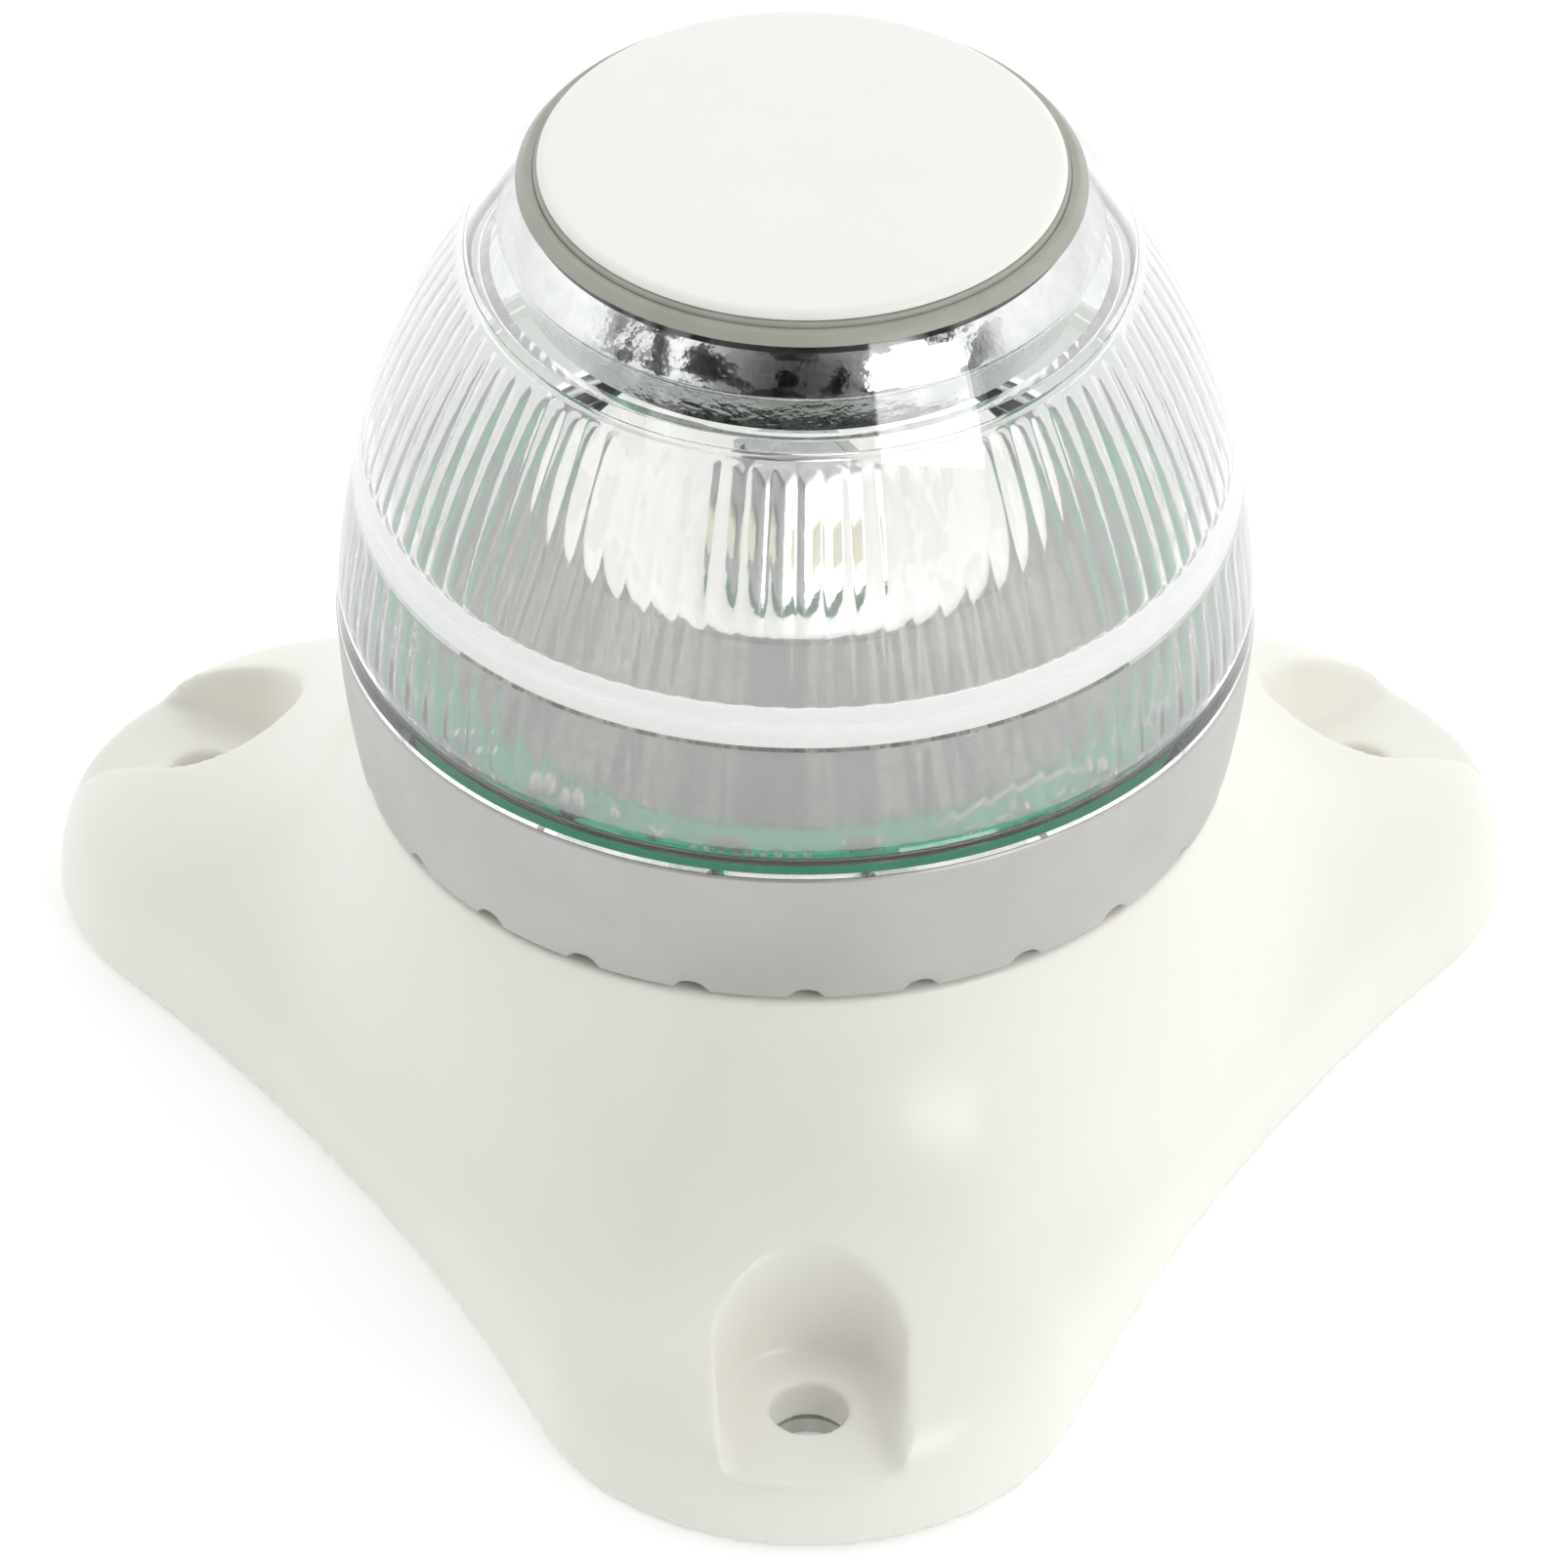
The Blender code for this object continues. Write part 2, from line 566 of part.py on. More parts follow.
def make_lens():
    """Dome that is thick up to an inner ledge and thin above it, open at the top for the cap."""
    opening_r = CAP_R + GAP
    across = opening_r - LENS_ARC_X
    opening_z = LENS_ARC_Z + math.sqrt((LENS_ARC_R - LENS_THIN_T) ** 2 - across**2)
    lens = turned("lens_dome", [
        *arc_points(LENS_RIM_Z, LENS_BOTTOM_Z, 8),
        (SEAT_OUT_R, LENS_BOTTOM_Z), (SEAT_OUT_R, SEAT_BOTTOM_Z), (SKIRT_OUT_R, SEAT_BOTTOM_Z),
        (SKIRT_OUT_R, FLANGE_Z[1]), (FLANGE_R, FLANGE_Z[1]),
        (FLANGE_R, FLANGE_Z[0]), (SKIRT_TIP_R, FLANGE_Z[0]), (SKIRT_TIP_R, SKIRT_BOTTOM_Z),
        (SKIRT_IN_R, SKIRT_BOTTOM_Z), (SKIRT_IN_R, LENS_FOOT_Z),
        *arc_points(LENS_FOOT_Z + OVER, LENS_LEDGE_Z, 6, LENS_T),
        *arc_points(LENS_LEDGE_Z, opening_z, 3, LENS_THIN_T),
        (opening_r, LENS_RIM_Z),
    ], "clear_plastic", steps=36)
    key = box(
        "join_lens_key", (KEY_DEPTH, KEY_W, BOARD_Z[1] - BOARD_Z[0]),
        (0, SKIRT_IN_R, (BOARD_Z[0] + BOARD_Z[1]) / 2), turn=90,
    )
    boolean(lens, key, "UNION")
    return lens


def make_cap():
    """White disc with a rounded edge over an upright side, and a stem down to the reflector's hub."""
    return turned("top_cap", [
        (0, CAP_TOP_Z), *CAP_CROWN, *CAP_EDGE, (CAP_R, CAP_UNDER_Z), (CAP_STEM_R, CAP_UNDER_Z),
        (CAP_STEM_R, CAP_STEM_Z), (0, CAP_STEM_Z),
    ], "white_plastic", steps=36, closed=False)


def make_cap_seal():
    inner_r, outer_r = CAP_SEAL_R
    low, high = CONE_TOP_Z + GAP / 2, CAP_UNDER_Z - GAP / 2
    return turned("cap_seal", [
        (outer_r, high), (outer_r, low), (inner_r, low), (inner_r, high),
    ], "black_rubber", steps=32)


def make_top_reflector():
    """Thin chromed shell, wide end up, that turns the light outwards. Its hub holds the cap's stem."""
    turn_r, turn_z = CONE_TURN
    steps = 5
    curve = []
    for i in range(steps + 1):
        t = i / steps
        radius = turn_r + (CONE_TIP_R - turn_r) * t**0.9
        curve.append((radius, turn_z + (CONE_TIP_Z - turn_z) * t))
    hub_r = CAP_STEM_R + GAP
    flange_r = CAP_SEAL_R[1] + GAP
    inner = [
        (r - CONE_T, z + CONE_T) for r, z in reversed(curve) if r - CONE_T > hub_r + 2 * OVER
    ]
    return turned("top_reflector", [
        (0, HUB_Z[0]), (hub_r, HUB_Z[0]), (hub_r, HUB_Z[1]), (hub_r + OVER, HUB_Z[1]), *inner,
        (CONE_BAND[2][0] - 1.5 * CONE_T, CONE_BAND[2][1] - CONE_T), (flange_r, CONE_TOP_Z - CONE_T),
        (CAP_SEAL_R[0], CONE_TOP_Z - CONE_T), (CAP_SEAL_R[0], CONE_TOP_Z), *CONE_BAND, *curve,
        (0, CONE_TIP_Z - OVER / 2),
    ], "chrome", steps=32, closed=False)


def make_lower_reflector():
    """Silvered crater: a cone that rises from the board to a rim, then dips to the tower."""
    foot = BOARD_Z[1] + GAP
    mouth_low, mouth_high = CRATER_MOUTH_Z
    return turned("lower_reflector", [
        (CRATER_RIM_R, CRATER_RIM_Z), *CRATER_OUTSIDE, (CRATER_FOOT_R, foot),
        (CRATER_FOOT_R - CRATER_T, foot), *CRATER_UNDERSIDE, (CRATER_MOUTH_R, mouth_low),
        (CRATER_MOUTH_R, mouth_high), *CRATER_INSIDE,
    ], "silvered_plastic", steps=32)


def make_board():
    low, high = BOARD_Z
    board = cylinder("circuit_board", BOARD_R, low, high, finish="board_green", steps=40)
    boolean(board, box(
        "cut_board_key", (4.0 * MM, KEY_W + 2 * GAP, 4.0 * MM), (0, BOARD_R, (low + high) / 2), turn=90
    ))
    for number, lobe in enumerate(LOBES):
        boolean(board, cylinder(
            f"cut_board_screw_{number}", BOARD_HOLE_R, low - OVER, high + OVER,
            polar(BOARD_SCREW_R, lobe + 60), steps=16,
        ))
    return board


def make_tower():
    low, high = TOWER_Z
    tower = box(
        "led_tower", (TOWER_W, TOWER_W, high - low), (0, 0, (low + high) / 2), "aluminium",
        bevel=0.3 * MM, turn=TOWER_TURN,
    )
    board_low, board_high = LED_BOARD_Z
    middle = (board_low + board_high) / 2
    board_r = TOWER_W / 2 + GAP + LED_BOARD_T / 2
    led_r = board_r + LED_BOARD_T / 2 + GAP + LED_T / 2
    for number in range(4):
        direction = 90 * number - 90 + TOWER_TURN
        box(
            f"led_board_{number + 1}", (LED_BOARD_T, TOWER_W, board_high - board_low),
            (*polar(board_r, direction), middle), "led_board_white", turn=direction,
        )
        box(
            f"led_{number + 1}", (LED_T, LED_W, LED_H), (*polar(led_r, direction), middle),
            "led_phosphor", bevel=0.2 * MM, turn=direction,
        )
    return tower


def make_board_parts():
    """Driver parts that hang from the board's underside inside the neck."""
    under = BOARD_Z[0] - GAP
    cylinder(
        "capacitor", CAPACITOR_R, under - CAPACITOR_H, under, CAPACITOR_AT, "grey_plastic", steps=24
    )
    foot = under - INDUCTOR_H
    turned("inductor", [
        (INDUCTOR_R, under), (INDUCTOR_R, under - INDUCTOR_FLANGE_T),
        (INDUCTOR_WAIST_R, under - INDUCTOR_FLANGE_T - GAP),
        (INDUCTOR_WAIST_R, foot + INDUCTOR_FLANGE_T + GAP), (INDUCTOR_R, foot + INDUCTOR_FLANGE_T),
        (INDUCTOR_R, foot), (0, foot), (0, under),
    ], "black_plastic", steps=24, at=INDUCTOR_AT)
    for name, at, size in (("driver_chip", CHIP_AT, CHIP_SIZE), ("diode", DIODE_AT, DIODE_SIZE)):
        box(name, size, (*at, under - size[2] / 2), "black_plastic", bevel=0.2 * MM)


def make_terminals():
    """Two-pole screw terminal under the base's top plate, open to the front and back for the wires."""
    top = BASE_TOP_Z - PLATE - GASKET_T - GAP
    width, depth, height = TERMINAL_SIZE
    middle = top - height / 2
    block = box("terminal_block", TERMINAL_SIZE, (0, TERMINAL_Y, middle), "grey_plastic", bevel=0.3 * MM)
    for number, x in enumerate((-TERMINAL_POLE_X, TERMINAL_POLE_X), 1):
        bm = bmesh.new()
        bmesh.ops.create_cone(
            bm, cap_ends=True, segments=20, depth=depth + 2 * OVER, radius1=WIRE_WAY_R,
            radius2=WIRE_WAY_R,
        )
        bmesh.ops.rotate(bm, verts=bm.verts, matrix=Matrix.Rotation(math.radians(90), 3, "X"))
        wire_way = add_object(f"cut_wire_way_{number}", mesh_of("wire_way", bm))
        wire_way.location = (x, TERMINAL_Y, middle)
        boolean(block, wire_way)
        screw_way = cylinder(
            f"cut_screw_way_{number}", SCREW_WAY_R, top - height - OVER, middle, (x, TERMINAL_Y),
            steps=16,
        )
        boolean(block, screw_way)
        cylinder(
            f"terminal_screw_{number}", TERMINAL_SCREW_R, top - height + GAP, middle - WIRE_WAY_R - GAP,
            (x, TERMINAL_Y), "screw_steel", steps=16,
        )
    return middle


def make_lead(name, side, middle, finish):
    """Insulated wire from the board, down through the grommet and back into the terminal block."""
    route = [
        (side * 1.0, 10.0, BOARD_Z[0] / MM - 0.4), (side * 1.0, 10.0, 31.0),
        (side * 1.0, 10.0, 24.0), (side * 1.2, 9.6, 20.5), (side * 2.4, 7.4, middle / MM + 0.4),
        (side * 3.5, 4.6, middle / MM), (side * 3.8, 2.0, middle / MM), (side * 3.8, 0.0, middle / MM),
    ]
    points = [Vector(p) * MM for p in route]
    smooth = []
    for i in range(len(points) - 1):
        before, after = points[max(i - 1, 0)], points[min(i + 2, len(points) - 1)]
        a, b = points[i], points[i + 1]
        for step in range(3):
            t = step / 3
            smooth.append(
                a * (2 * t**3 - 3 * t**2 + 1) + b * (3 * t**2 - 2 * t**3)
                + (b - before) / 2 * (t**3 - 2 * t**2 + t) + (after - a) / 2 * (t**3 - t**2)
            )
    smooth.append(points[-1])
    curve = bpy.data.curves.new(name, "CURVE")
    curve.dimensions = "3D"
    curve.bevel_depth = LEAD_R
    curve.bevel_resolution = 1
    curve.use_fill_caps = True
    spline = curve.splines.new("POLY")
    spline.points.add(len(smooth) - 1)
    for target, point in zip(spline.points, smooth):
        target.co = (*point, 1.0)
    return add_object(name, curve, finish)


clear_scene()
PARTS = make_collection("navigation_light")
CUTTERS = make_collection("cutters", hidden=True)

make_base()
make_gasket()
make_neck()
torus_ring("neck_o_ring", SEAL_RING_R, SEAL_R, SEAL_Z, "black_rubber")
for index, lobe_direction in enumerate(LOBES, 1):
    pan_screw(
        f"neck_screw_{index}", polar(NECK_SCREW_R, lobe_direction), NECK_FLOOR_Z, NECK_SCREW_TIP_Z,
        NECK_SCREW_HEAD, NECK_SCREW_SHANK,
    )
    pan_screw(
        f"board_screw_{index}", polar(BOARD_SCREW_R, lobe_direction + 60), BOARD_Z[1],
        BOARD_SCREW_TIP_Z, BOARD_SCREW_HEAD, BOARD_SCREW_SHANK,
    )
make_grommet()
make_board()
make_board_parts()
make_lower_reflector()
make_tower()
terminal_z = make_terminals()
make_lead("positive_lead", -1, terminal_z, "red_insulation")
make_lead("negative_lead", 1, terminal_z, "black_insulation")
make_lens()
make_cap()
make_cap_seal()
make_top_reflector()
make_collar()
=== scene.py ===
"""Looks of the marine navigation light: fine shells, ribbed lens, silvered parts and studio light.

Metres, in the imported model's own frame: +Z up, origin on the light's axis at the deck, front lobe
towards -Y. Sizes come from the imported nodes' boxes wherever those give them.
"""

import math

import bmesh
import bpy
import numpy as np
from mathutils import Matrix, Vector


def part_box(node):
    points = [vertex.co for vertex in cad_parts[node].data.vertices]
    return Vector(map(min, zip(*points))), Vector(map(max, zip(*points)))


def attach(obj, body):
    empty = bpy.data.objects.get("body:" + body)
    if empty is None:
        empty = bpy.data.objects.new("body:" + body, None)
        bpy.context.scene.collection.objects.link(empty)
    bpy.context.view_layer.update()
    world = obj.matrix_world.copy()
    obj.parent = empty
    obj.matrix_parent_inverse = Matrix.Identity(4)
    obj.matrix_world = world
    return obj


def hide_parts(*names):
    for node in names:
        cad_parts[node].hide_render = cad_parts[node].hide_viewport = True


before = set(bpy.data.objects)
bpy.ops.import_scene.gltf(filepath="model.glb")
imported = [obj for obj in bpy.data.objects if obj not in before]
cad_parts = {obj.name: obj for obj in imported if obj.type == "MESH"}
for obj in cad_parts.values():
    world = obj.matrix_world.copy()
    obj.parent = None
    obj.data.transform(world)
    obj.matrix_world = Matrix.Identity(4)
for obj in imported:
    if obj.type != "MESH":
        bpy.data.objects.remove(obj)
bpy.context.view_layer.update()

MM = 0.001
GAP = 0.3 * MM
WELD = 1e-7
BUMP_DEPTH = 0.2 * MM

BASE_TOP_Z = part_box("mounting_base")[1].z
COLLAR_LOW, COLLAR_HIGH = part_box("collar_ring")
LENS_RIM_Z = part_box("lens_dome")[1].z
CAP_LOW, CAP_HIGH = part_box("top_cap")
BOARD_TOP_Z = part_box("circuit_board")[1].z
CRATER_LOW, CRATER_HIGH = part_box("lower_reflector")
CONE_LOW, CONE_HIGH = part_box("top_reflector")
GASKET_LOW, GASKET_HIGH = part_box("deck_gasket")

# Base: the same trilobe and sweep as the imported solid, in fine steps.
LOBES = (-90.0, 30.0, 150.0)
TIP_CENTRE = 37.94 * MM
TIP_R = 19.84 * MM
WAIST_R = 35.99 * MM
BASE_TOP_R = 30.6 * MM
SWEEP_OUT = (0.269, 1.0)
SWEEP_DOWN = (20.85 * MM, 28.7 * MM)
SWEEP_EDGE = (15.18 * MM, 10.9 * MM)
WALL = 2.8 * MM
PLATE = 2.6 * MM
HOLE_CIRCLE_R = 48.42 * MM
HOLE_R = 2.75 * MM
SEAT_Z = 4.8 * MM
POCKET_R = 6.1 * MM
POCKET_R_TOP = 7.4 * MM
POCKET_TOP_Z = 17.0 * MM
BOSS_R = 9.4 * MM
GASKET_T = GASKET_HIGH.z - GASKET_LOW.z
CHANNEL_REACH = 20 * MM
GASKET_INSET = 1.5 * MM
VOXEL, QUICK_VOXEL = 0.42 * MM, 0.9 * MM
# Columns and rings of the swept surfaces.
BASE_STEPS, CHAMBER_STEPS = (288, 48), (96, 12)

# Collar: a slightly bulged wall over a bore, a flange for the lens and a thin upper lip.
COLLAR_TOP_R = COLLAR_HIGH.x
COLLAR_FOOT_R = 30.9 * MM
COLLAR_BULGE = 0.25 * MM
COLLAR_BORE_R, COLLAR_BORE_TOP_Z = 29.4 * MM, 34.4 * MM
FLANGE_R, FLANGE_LOW_Z, FLANGE_HIGH_Z = 31.3 * MM, 34.9 * MM, 36.6 * MM
FLANGE_MOUTH_R = 30.5 * MM
LIP_T, LIP_DEPTH = 0.6 * MM, 1.0 * MM
NOTCHES = 24
NOTCH_HALF_WIDTH, NOTCH_HEIGHT = 1.15 * MM, 0.75 * MM
NOTCH_FADE = 1.6 * MM

# Collar lugs that ride on the neck's quick-thread ramps, 120 degrees apart.
THREAD_LEAD = 36.0 * MM
RAMP_FOOT_Z = 27.9 * MM
LUG_ANGLES = (12, 34)
LUG_HEIGHT, LUG_CHAMFER = 1.4 * MM, 0.15 * MM
LUG_TIP_R, LUG_ROOT_R = 28.2 * MM, 29.6 * MM

# Lens: one arc outside and the same arc moved in by the wall inside, thinner above the ledge.
LENS_ARC_R = 60.0 * MM
LENS_ARC_X = -27.65 * MM
LENS_ARC_Z = 38.0 * MM
LENS_T = 2.4 * MM
LENS_THIN_T = 1.1 * MM
LENS_LEDGE_Z = 68.8 * MM
LENS_BOTTOM_Z = COLLAR_HIGH.z + 0.06 * MM
LENS_OPENING_R = CAP_HIGH.x + GAP
LENS_RIM_BAND = 0.7 * MM
# The hidden skirt in the collar and the foot's inner curve, as (radius, height) in millimetres.
LENS_SKIRT = (
    (31.5, LENS_BOTTOM_Z / MM), (31.5, 37.88), (30.2, 37.88), (30.2, 36.3), (31.0, 36.3),
    (31.0, 35.2), (29.1, 35.2), (29.1, 33.4), (28.4, 33.4), (28.4, 37.9), (28.5, 38.05),
    (28.9, 38.3), (29.4, 38.6), (29.8, 39.0),
)
LENS_INSIDE_Z = 39.3 * MM
LENS_FINISHES = ("lens_clear", "lens_flute_painted_light", "lens_belt_painted_light", "lens_low_painted_light", "cap_edge")
CLEAR, FLUTED, BELTED, FLUTED_LOW, RIM = range(len(LENS_FINISHES))
FLUTES = 84
FLUTE_DEPTH = 0.11 * MM
UPPER_FLUTES = (50.9 * MM, 66.7 * MM)
LOWER_FLUTES = (39.9 * MM, 47.6 * MM)
FLUTE_END = 1.0 * MM
BELT = (47.75 * MM, 50.8 * MM)
BELT_RISE = 0.28 * MM
BELT_GROOVE_Z, BELT_GROOVE_HALF = sum(BELT) / 2, 0.1 * MM
RING_Z, RING_HALF, RING_RISE = 67.15 * MM, 0.25 * MM, 0.12 * MM

# Clear plastic: polycarbonate under a hard coat, and the tint of the emission painted on some lens
# bands as light.
CLEAR_IOR = 1.49
CLEAR_COAT_IOR = 1.6
PAINTED_LIGHT_TINT = (1.0, 0.995, 0.97, 1.0)

# Cap: white disc over a grey-green band.
CAP_R = CAP_HIGH.x
CAP_UNDER_Z = 74.1 * MM
CAP_CROWN = 0.55 * MM
CAP_FLAT_R = CAP_R - 1.0 * MM
CAP_EDGE_R, CAP_EDGE_Z = 0.75 * MM, 0.55 * MM
CAP_BAND_T = 2.4 * MM
CAP_STEM_R, CAP_STEM_CORE_R = 5.0 * MM, 1.0 * MM

# Top reflector: the band and the hollow behind the cone, as (radius, height) in millimetres.
CHROME_BAND = ((18.9, CONE_HIGH.z / MM), (19.28, 73.05), (19.65, 72.5), (20.1, 71.9),
               (20.48, 71.32), (20.62, 71.05), (20.58, 70.85))
CHROME_HOLLOW = ((17.4, 68.6), (19.1, 70.1), (17.5, CONE_HIGH.z / MM - 1.0),
                 (15.0, CONE_HIGH.z / MM - 1.0), (15.0, CONE_HIGH.z / MM))
CHROME_TURN_R, CHROME_TURN_Z = 19.5 * MM, 67.5 * MM
CHROME_TIP_R, CHROME_TIP_CORE_R = 2.0 * MM, 0.2 * MM
HUB_R, HUB_LOW_Z, HUB_HIGH_Z = 5.3 * MM, CAP_LOW.z - 0.5 * MM, 64.6 * MM

# Lower reflector, as (radius, height) in millimetres.
CRATER_FOOT, CRATER_RIM = CRATER_LOW.z / MM, CRATER_HIGH.z / MM
CRATER_OUTSIDE = ((17.0, CRATER_RIM), (17.5, CRATER_RIM - 0.6), (18.9, 45.2), (21.6, 41.4),
                  (24.8, CRATER_FOOT))
CRATER_UNDERSIDE = ((23.6, CRATER_FOOT), (20.8, 40.9), (17.9, 44.8), (16.4, 46.2), (13.0, 42.4),
                    (5.7, 39.4), (4.2, 39.6))
CRATER_INSIDE = ((4.2, 40.1), (5.7, 40.4), (9.6, 41.6), (12.6, 43.3), (15.6, 46.9),
                 (16.1, CRATER_RIM - 0.25), (16.5, CRATER_RIM))

# Small parts on the board: radius in millimetres, then direction in degrees, then size.
CHIP_R, CHIP_SIZE = 26.9, (1.9, 1.0, 0.5)
CHIP_DIRECTIONS = (-101, -82, -28, -8, 20, 47, 66, 118, 141, 163, 187, 214)
CHIP_END_TURN, CHIP_END_SIZE = 2.6, (0.55, 1.05, 0.42)
TICK_R, TICK_SIZE = 27.5, (0.5, 0.35, 0.05)
TICK_DIRECTIONS = (-106, -88, 2.0)
PAD_R, PAD_SIZE = 27.3, (1.4, 0.5, 0.05)
PAD_DIRECTIONS = (-66, -61, -50, 10, 34, 90, 129, 175, 200)
# Solder drops: radius, direction, width, height.
SOLDER = (
    (26.6, -131, 2.6, 1.5), (27.0, -125, 2.2, 1.7), (26.4, -119, 1.5, 0.9), (27.2, -112, 1.1, 0.7),
    (26.9, -43, 1.8, 1.1), (27.0, -57, 1.4, 0.8), (27.0, 60, 1.8, 1.0), (26.8, 150, 2.0, 1.1),
)
# Thin wires that bow over the board: first and last direction, rise, outward bow.
WIRES = ((-72, -43, 2.0, 0.5), (-38, -14, 1.4, 0.3))
WIRE_R, WIRE_THICKNESS = 26.7, 0.22 * MM

# Camera, recovered from the photograph.
CAMERA_EYE = (-0.030855, -0.829431, 0.659669)
CAMERA_TARGET = (-0.000631, 0.000023, 0.022045)
CAMERA_ROLL_DEG = 0.840
CAMERA_FOCAL_MM, CAMERA_SENSOR_MM = 337.43, 36.0

# Studio: a pale sky with a dark side behind the camera. Ramps are (position, grey) stops: the sky's
# by height, the others by nearness to the dark side or by the noise that shapes the patches in it.
DARK_SIDE = (-0.05, -0.87, 0.49)
SKY = ((0.0, 0.80), (0.30, 0.95), (1.0, 1.05))
DARK_SPOT = ((0.80, 1.0), (0.90, 0.30), (1.0, 0.05))
PATCHES = ((0.46, 0.06), (0.49, 0.35), (0.51, 1.0))
PATCH_SIZE = 0.16
PATCH_REACH = ((0.25, 0.0), (0.50, 1.0))
WORLD_STRENGTH = 1.22
LIGHT_AIM = (0, 0, 0.045)
FLOOR_SIZE, FLOOR_Z = 6.0, -0.0002


# ---------------------------------------------------------------- materials


def node(tree, kind, **inputs):
    made = tree.nodes.new(kind)
    for name, value in inputs.items():
        made.inputs[name.replace("_", " ")].default_value = value
    return made


def ramp(tree, source, stops):
    """Colour ramp fed by a socket. Stops are (position, grey or colour)."""
    made = tree.nodes.new("ShaderNodeValToRGB")
    elements = made.color_ramp.elements
    while len(elements) < len(stops):
        elements.new(0.5)
    for element, (position, value) in zip(elements, stops):
        element.position = position
        colour = value if isinstance(value, tuple) else (value, value, value)
        element.color = (*colour, 1.0)
    tree.links.new(source, made.inputs["Fac"])
    return made.outputs["Color"]


def coordinates(tree, stretch=(1, 1, 1)):
    """Object coordinates in millimetres, stretched along chosen axes."""
    where = tree.nodes.new("ShaderNodeTexCoord")
    scale = tree.nodes.new("ShaderNodeMapping")
    scale.inputs["Scale"].default_value = [s / MM for s in stretch]
    tree.links.new(where.outputs["Object"], scale.inputs["Vector"])
    return scale.outputs["Vector"]


def noise(tree, vector, size_mm, detail, rough=0.55):
    made = node(tree, "ShaderNodeTexNoise", Scale=1.0 / size_mm, Detail=detail, Roughness=rough)
    tree.links.new(vector, made.inputs["Vector"])
    return made.outputs["Fac"]


def feed(tree, value, socket):
    """Links an input to another node's socket, or sets it to a plain value."""
    if isinstance(value, bpy.types.NodeSocket):
        tree.links.new(value, socket)
    else:
        socket.default_value = value


def multiplied(tree, first, second, factor=1.0):
    """Product of two colours; each of them, and the factor, is a socket or a value."""
    mix = tree.nodes.new("ShaderNodeMix")
    mix.data_type = "RGBA"
    mix.blend_type = "MULTIPLY"
    for value, name in ((first, "A"), (second, "B"), (factor, "Factor")):
        feed(tree, value, mix.inputs[name])
    return mix.outputs["Result"]


def calculated(tree, operation, *values):
    """Result of a Math node; each of its values is a socket or a number."""
    made = tree.nodes.new("ShaderNodeMath")
    made.operation = operation
    for value, socket in zip(values, made.inputs):
        feed(tree, value, socket)
    return made.outputs[0]


def surface(name, dark, light, roughness, patch_mm, grain_mm, bump, metallic=0.0,
            stretch=(1, 1, 1), **sockets):
    """Principled material whose colour, roughness and fine bump all vary over the surface."""
    material = bpy.data.materials.new(name)
    material.use_nodes = True
    tree = material.node_tree
    shader = tree.nodes["Principled BSDF"]
    vector = coordinates(tree, stretch)
    patches = noise(tree, vector, patch_mm, 4.0)
    grain = noise(tree, vector, grain_mm, 2.0)
    tree.links.new(ramp(tree, patches, [(0.3, dark), (0.7, light)]), shader.inputs["Base Color"])
    wear = noise(tree, vector, patch_mm * 0.4, 5.0)
    tree.links.new(ramp(tree, wear, [(0.3, roughness[0]), (0.7, roughness[1])]),
                   shader.inputs["Roughness"])
    relief = node(tree, "ShaderNodeBump", Strength=bump, Distance=BUMP_DEPTH)
    tree.links.new(grain, relief.inputs["Height"])
    tree.links.new(relief.outputs["Normal"], shader.inputs["Normal"])
    shader.inputs["Metallic"].default_value = metallic
    for socket, value in sockets.items():
        shader.inputs[socket.replace("_", " ")].default_value = value
    return material


def clear_plastic(name, tint, roughness, transmission, bump, size_mm, coat=0.0, painted_emission=0.0):
    """Clear moulded plastic: a faint waviness in its face and a few finer marks."""
    material = bpy.data.materials.new(name)
    material.use_nodes = True
    tree = material.node_tree
    shader = tree.nodes["Principled BSDF"]
    vector = coordinates(tree)
    marks = noise(tree, vector, size_mm, 4.0)
    lighter = tuple(min(1, c * 1.03) for c in tint)
    tree.links.new(ramp(tree, marks, [(0.35, tint), (0.65, lighter)]), shader.inputs["Base Color"])
    tree.links.new(ramp(tree, marks, [(0.4, roughness[0]), (0.75, roughness[1])]),
                   shader.inputs["Roughness"])
    relief = node(tree, "ShaderNodeBump", Strength=bump, Distance=BUMP_DEPTH)
    tree.links.new(noise(tree, vector, size_mm * 1.5, 2.0), relief.inputs["Height"])
    tree.links.new(relief.outputs["Normal"], shader.inputs["Normal"])
    shader.inputs["IOR"].default_value = CLEAR_IOR
    shader.inputs["Transmission Weight"].default_value = transmission
    shader.inputs["Coat Weight"].default_value = coat
    shader.inputs["Coat IOR"].default_value = CLEAR_COAT_IOR
    # Painted light: emission makes the plastic look brighter as if lit, though it is no lamp.
    shader.inputs["Emission Color"].default_value = PAINTED_LIGHT_TINT
    shader.inputs["Emission Strength"].default_value = painted_emission
    return material


def per_facet(material, facets, spread):
    """Shades the colour a little differently on each of the facets around the axis."""
    tree = material.node_tree
    shader = tree.nodes["Principled BSDF"]
    colour = shader.inputs["Base Color"].links[0].from_socket
    where = tree.nodes.new("ShaderNodeTexCoord")
    split = tree.nodes.new("ShaderNodeSeparateXYZ")
    tree.links.new(where.outputs["Object"], split.inputs["Vector"])
    angle = calculated(tree, "ARCTAN2", split.outputs["Y"], split.outputs["X"])
    count = calculated(tree, "MULTIPLY", angle, facets / (2 * math.pi))
    chance = tree.nodes.new("ShaderNodeTexWhiteNoise")
    chance.noise_dimensions = "1D"
    tree.links.new(calculated(tree, "FLOOR", count), chance.inputs["W"])
    shade = ramp(tree, chance.outputs["Value"], [(0.0, 1 - spread), (1.0, 1.0)])
    tree.links.new(multiplied(tree, colour, shade), shader.inputs["Base Color"])
    return material


